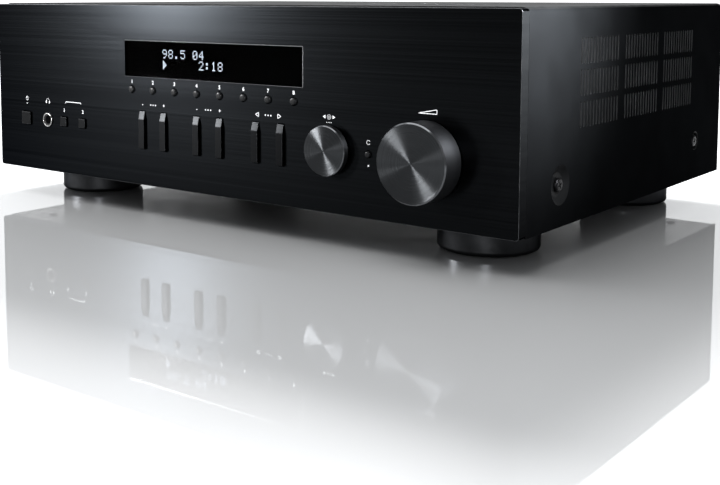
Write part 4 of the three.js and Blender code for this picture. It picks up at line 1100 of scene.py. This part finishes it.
def slot_tree():
    """Rounded slots punched in rows of blocks: one cutter stepped along, then by block, then by row."""
    tree, given = new_tree("punched_slots", Slot_Width="Float", Slot_Length="Float", Reach="Float",
                           First_Slot="Vector", Turn="Rotation", Slots="Int", Slot_Step="Vector",
                           Blocks="Int", Block_Step="Vector", Rows="Int", Row_Step="Vector",
                           Cut_Finish="Material")
    outline = put(tree, "CurvePrimitiveQuadrilateral", {
        "Width": given["Slot Width"], "Height": given["Slot Length"],
    })
    half = put(tree, "Math", {0: given["Slot Width"], 1: 0.49}, operation="MULTIPLY")
    rounded = put(tree, "FilletCurve", {"Curve": outline, "Radius": half, "Count": 3}, mode="POLY")
    filled = put(tree, "FillCurve", {"Curve": rounded}, mode="NGONS")
    deep = put(tree, "ExtrudeMesh", {"Mesh": filled, "Offset Scale": given["Reach"]})
    under = put(tree, "FlipFaces", {"Mesh": filled})
    both = put(tree, "JoinGeometry", {"Geometry": [deep, under]})
    welded = put(tree, "MergeByDistance", {"Geometry": both, "Distance": 0.00001})
    cutter = put(tree, "Transform", {"Geometry": welded, "Rotation": given["Turn"]})
    for count, step in (("Slots", "Slot Step"), ("Blocks", "Block Step"), ("Rows", "Row Step")):
        line = put(tree, "MeshLine", {"Count": given[count], "Offset": given[step]}, mode="OFFSET")
        cutter = put(tree, "InstanceOnPoints", {"Points": line, "Instance": cutter})
    real = put(tree, "RealizeInstances", {"Geometry": cutter})
    moved = put(tree, "Transform", {"Geometry": real, "Translation": given["First Slot"]})
    bare = put(tree, "SetMaterial", {
        "Geometry": moved, "Material": given["Cut Finish"],
    })
    punched = cut_away(tree, given["Geometry"], bare)
    cut_faces = put(tree, "MaterialSelection", {"Material": given["Cut Finish"]})
    return end_tree(tree, punched, given["Cut Finish"], cut_faces)


bare_steel = new_finish("punched_steel_edge", 1)
tint(bare_steel, 60, (0.095, 0.098, 0.102), (0.125, 0.129, 0.135))
roughen(bare_steel, 300, 0.38, 0.46)
slots = slot_tree()
each_slot = {"Slot Width": 0.002, "Slot Length": 0.015, "Slots": 13, "Cut Finish": bare_steel}
grow(cover, slots, {
    **each_slot, "First Slot": (-0.23, -0.0818, 0.0801), "Turn": (math.radians(90), 0, math.radians(90)),
    "Reach": 0.46, "Slot Step": (0, 0.00413, 0), "Blocks": 3, "Block Step": (0, 0.0615, 0),
    "Rows": 3, "Row Step": (0, 0, 0.018),
})
grow(cover, slots, {
    **each_slot, "First Slot": (0.01221, -0.057, 0.13), "Turn": (0, 0, 0),
    "Reach": 0.02, "Slot Step": (0.00413, 0, 0), "Blocks": 2, "Block Step": (0.066, 0, 0),
    "Rows": 2, "Row Step": (0, 0.018, 0),
})
soften(cover, 35)
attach(cover, "cabinet")
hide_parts("top_cover")


# Cover screws: pan heads with a cross recess, blackened, one sunk in each pressed dish.
# The recess narrows towards its floor.

def cross_loop(y, z, length, width):
    """Points (y, z) round a cross, tilted as a screw stops where it is tight."""
    a, b = length / 2, width / 2
    corners = [(b, b), (b, a), (-b, a), (-b, b), (-a, b), (-a, -b), (-b, -b), (-b, -a), (b, -a), (b, -b),
               (a, -b), (a, b)]
    tilt = Matrix.Rotation(math.radians(24), 2)
    return [Vector((y, z)) + tilt @ Vector(corner) for corner in corners]


head_top = 217.3
for side, sign in (("left", -1), ("right", 1)):
    for where, (y, z) in (("front", front_screw), ("rear", rear_screw)):
        name = f"cover_screw_{where}_{side}"
        drawing = bmesh.new()
        profile = [(2.9, 0), (3.4, 0.12), (3.8, 0.5), (4.0, 1.0), (4.0, 2.0), (1.8, 2.0), (1.8, 10.6),
                   (1.2, 11.0), (0, 11.0)]
        rings = turn(drawing, [(r, sign * (head_top - depth)) for r, depth in profile], about_x(y, z), 40)
        top, pit = [], []
        for loop, depth, length, width in ((top, 0, 4.2, 0.9), (pit, 1.1, 3.0, 0.7)):
            for p, q in cross_loop(y, z, length, width):
                loop.append(drawing.verts.new((sign * (head_top - depth), p, q)))
        flat(drawing, rings[0], [top])
        walls(drawing, [top, pit])
        flat(drawing, pit, [])
        screw = soften(mesh_piece(name + "_head", drawing, black_screw), 40)
        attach(screw, "cabinet")
        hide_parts(name)


# Feet: four broad round mouldings in glossy black plastic, each with a thin rubber pad let into its
# underside, screwed up into the pan.

foot_gloss = new_finish("glossy_black_moulding", 1, {"Specular Tint": (0.4, 0.4, 0.4, 1)})
tint(foot_gloss, 80, (0.034, 0.0352, 0.0376), (0.046, 0.0477, 0.0508))
roughen(foot_gloss, 350, 0.31, 0.37)
rubber = new_finish("grey_rubber_pad", 0, {"Roughness": 0.8})
tint(rubber, 600, (0.022, 0.022, 0.023), (0.042, 0.042, 0.043))
emboss(rubber, 1500, 0.05, 0.6)

for corner in ("front_left", "front_right", "rear_left", "rear_right"):
    name = "foot_" + corner
    low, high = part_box(name)
    x = (low.x + high.x) * 500
    y = (low.y + high.y) * 500
    drawing = bmesh.new()
    turn(drawing, [
        (0, 1.0), (25.4, 1.0), (25.4, 0.7), (26.6, 0.7), (28.2, 0.9), (29.3, 1.5), (29.9, 2.5), (30, 3.4),
        (30, 19.3), (29.8, 19.8), (29.3, 20), (0, 20),
    ], about_z(x, y), 96)
    foot = soften(mesh_piece(name + "_moulding", drawing, foot_gloss), 40)
    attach(foot, "cabinet")
    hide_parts(name)
    drawing = bmesh.new()
    turn(drawing, [(0, 0), (24.4, 0), (25, 0.3), (25, 1.2), (0, 1.2)], about_z(x, y), 64)
    pad = soften(mesh_piece(name + "_pad", drawing, rubber), 40)
    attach(pad, "cabinet")
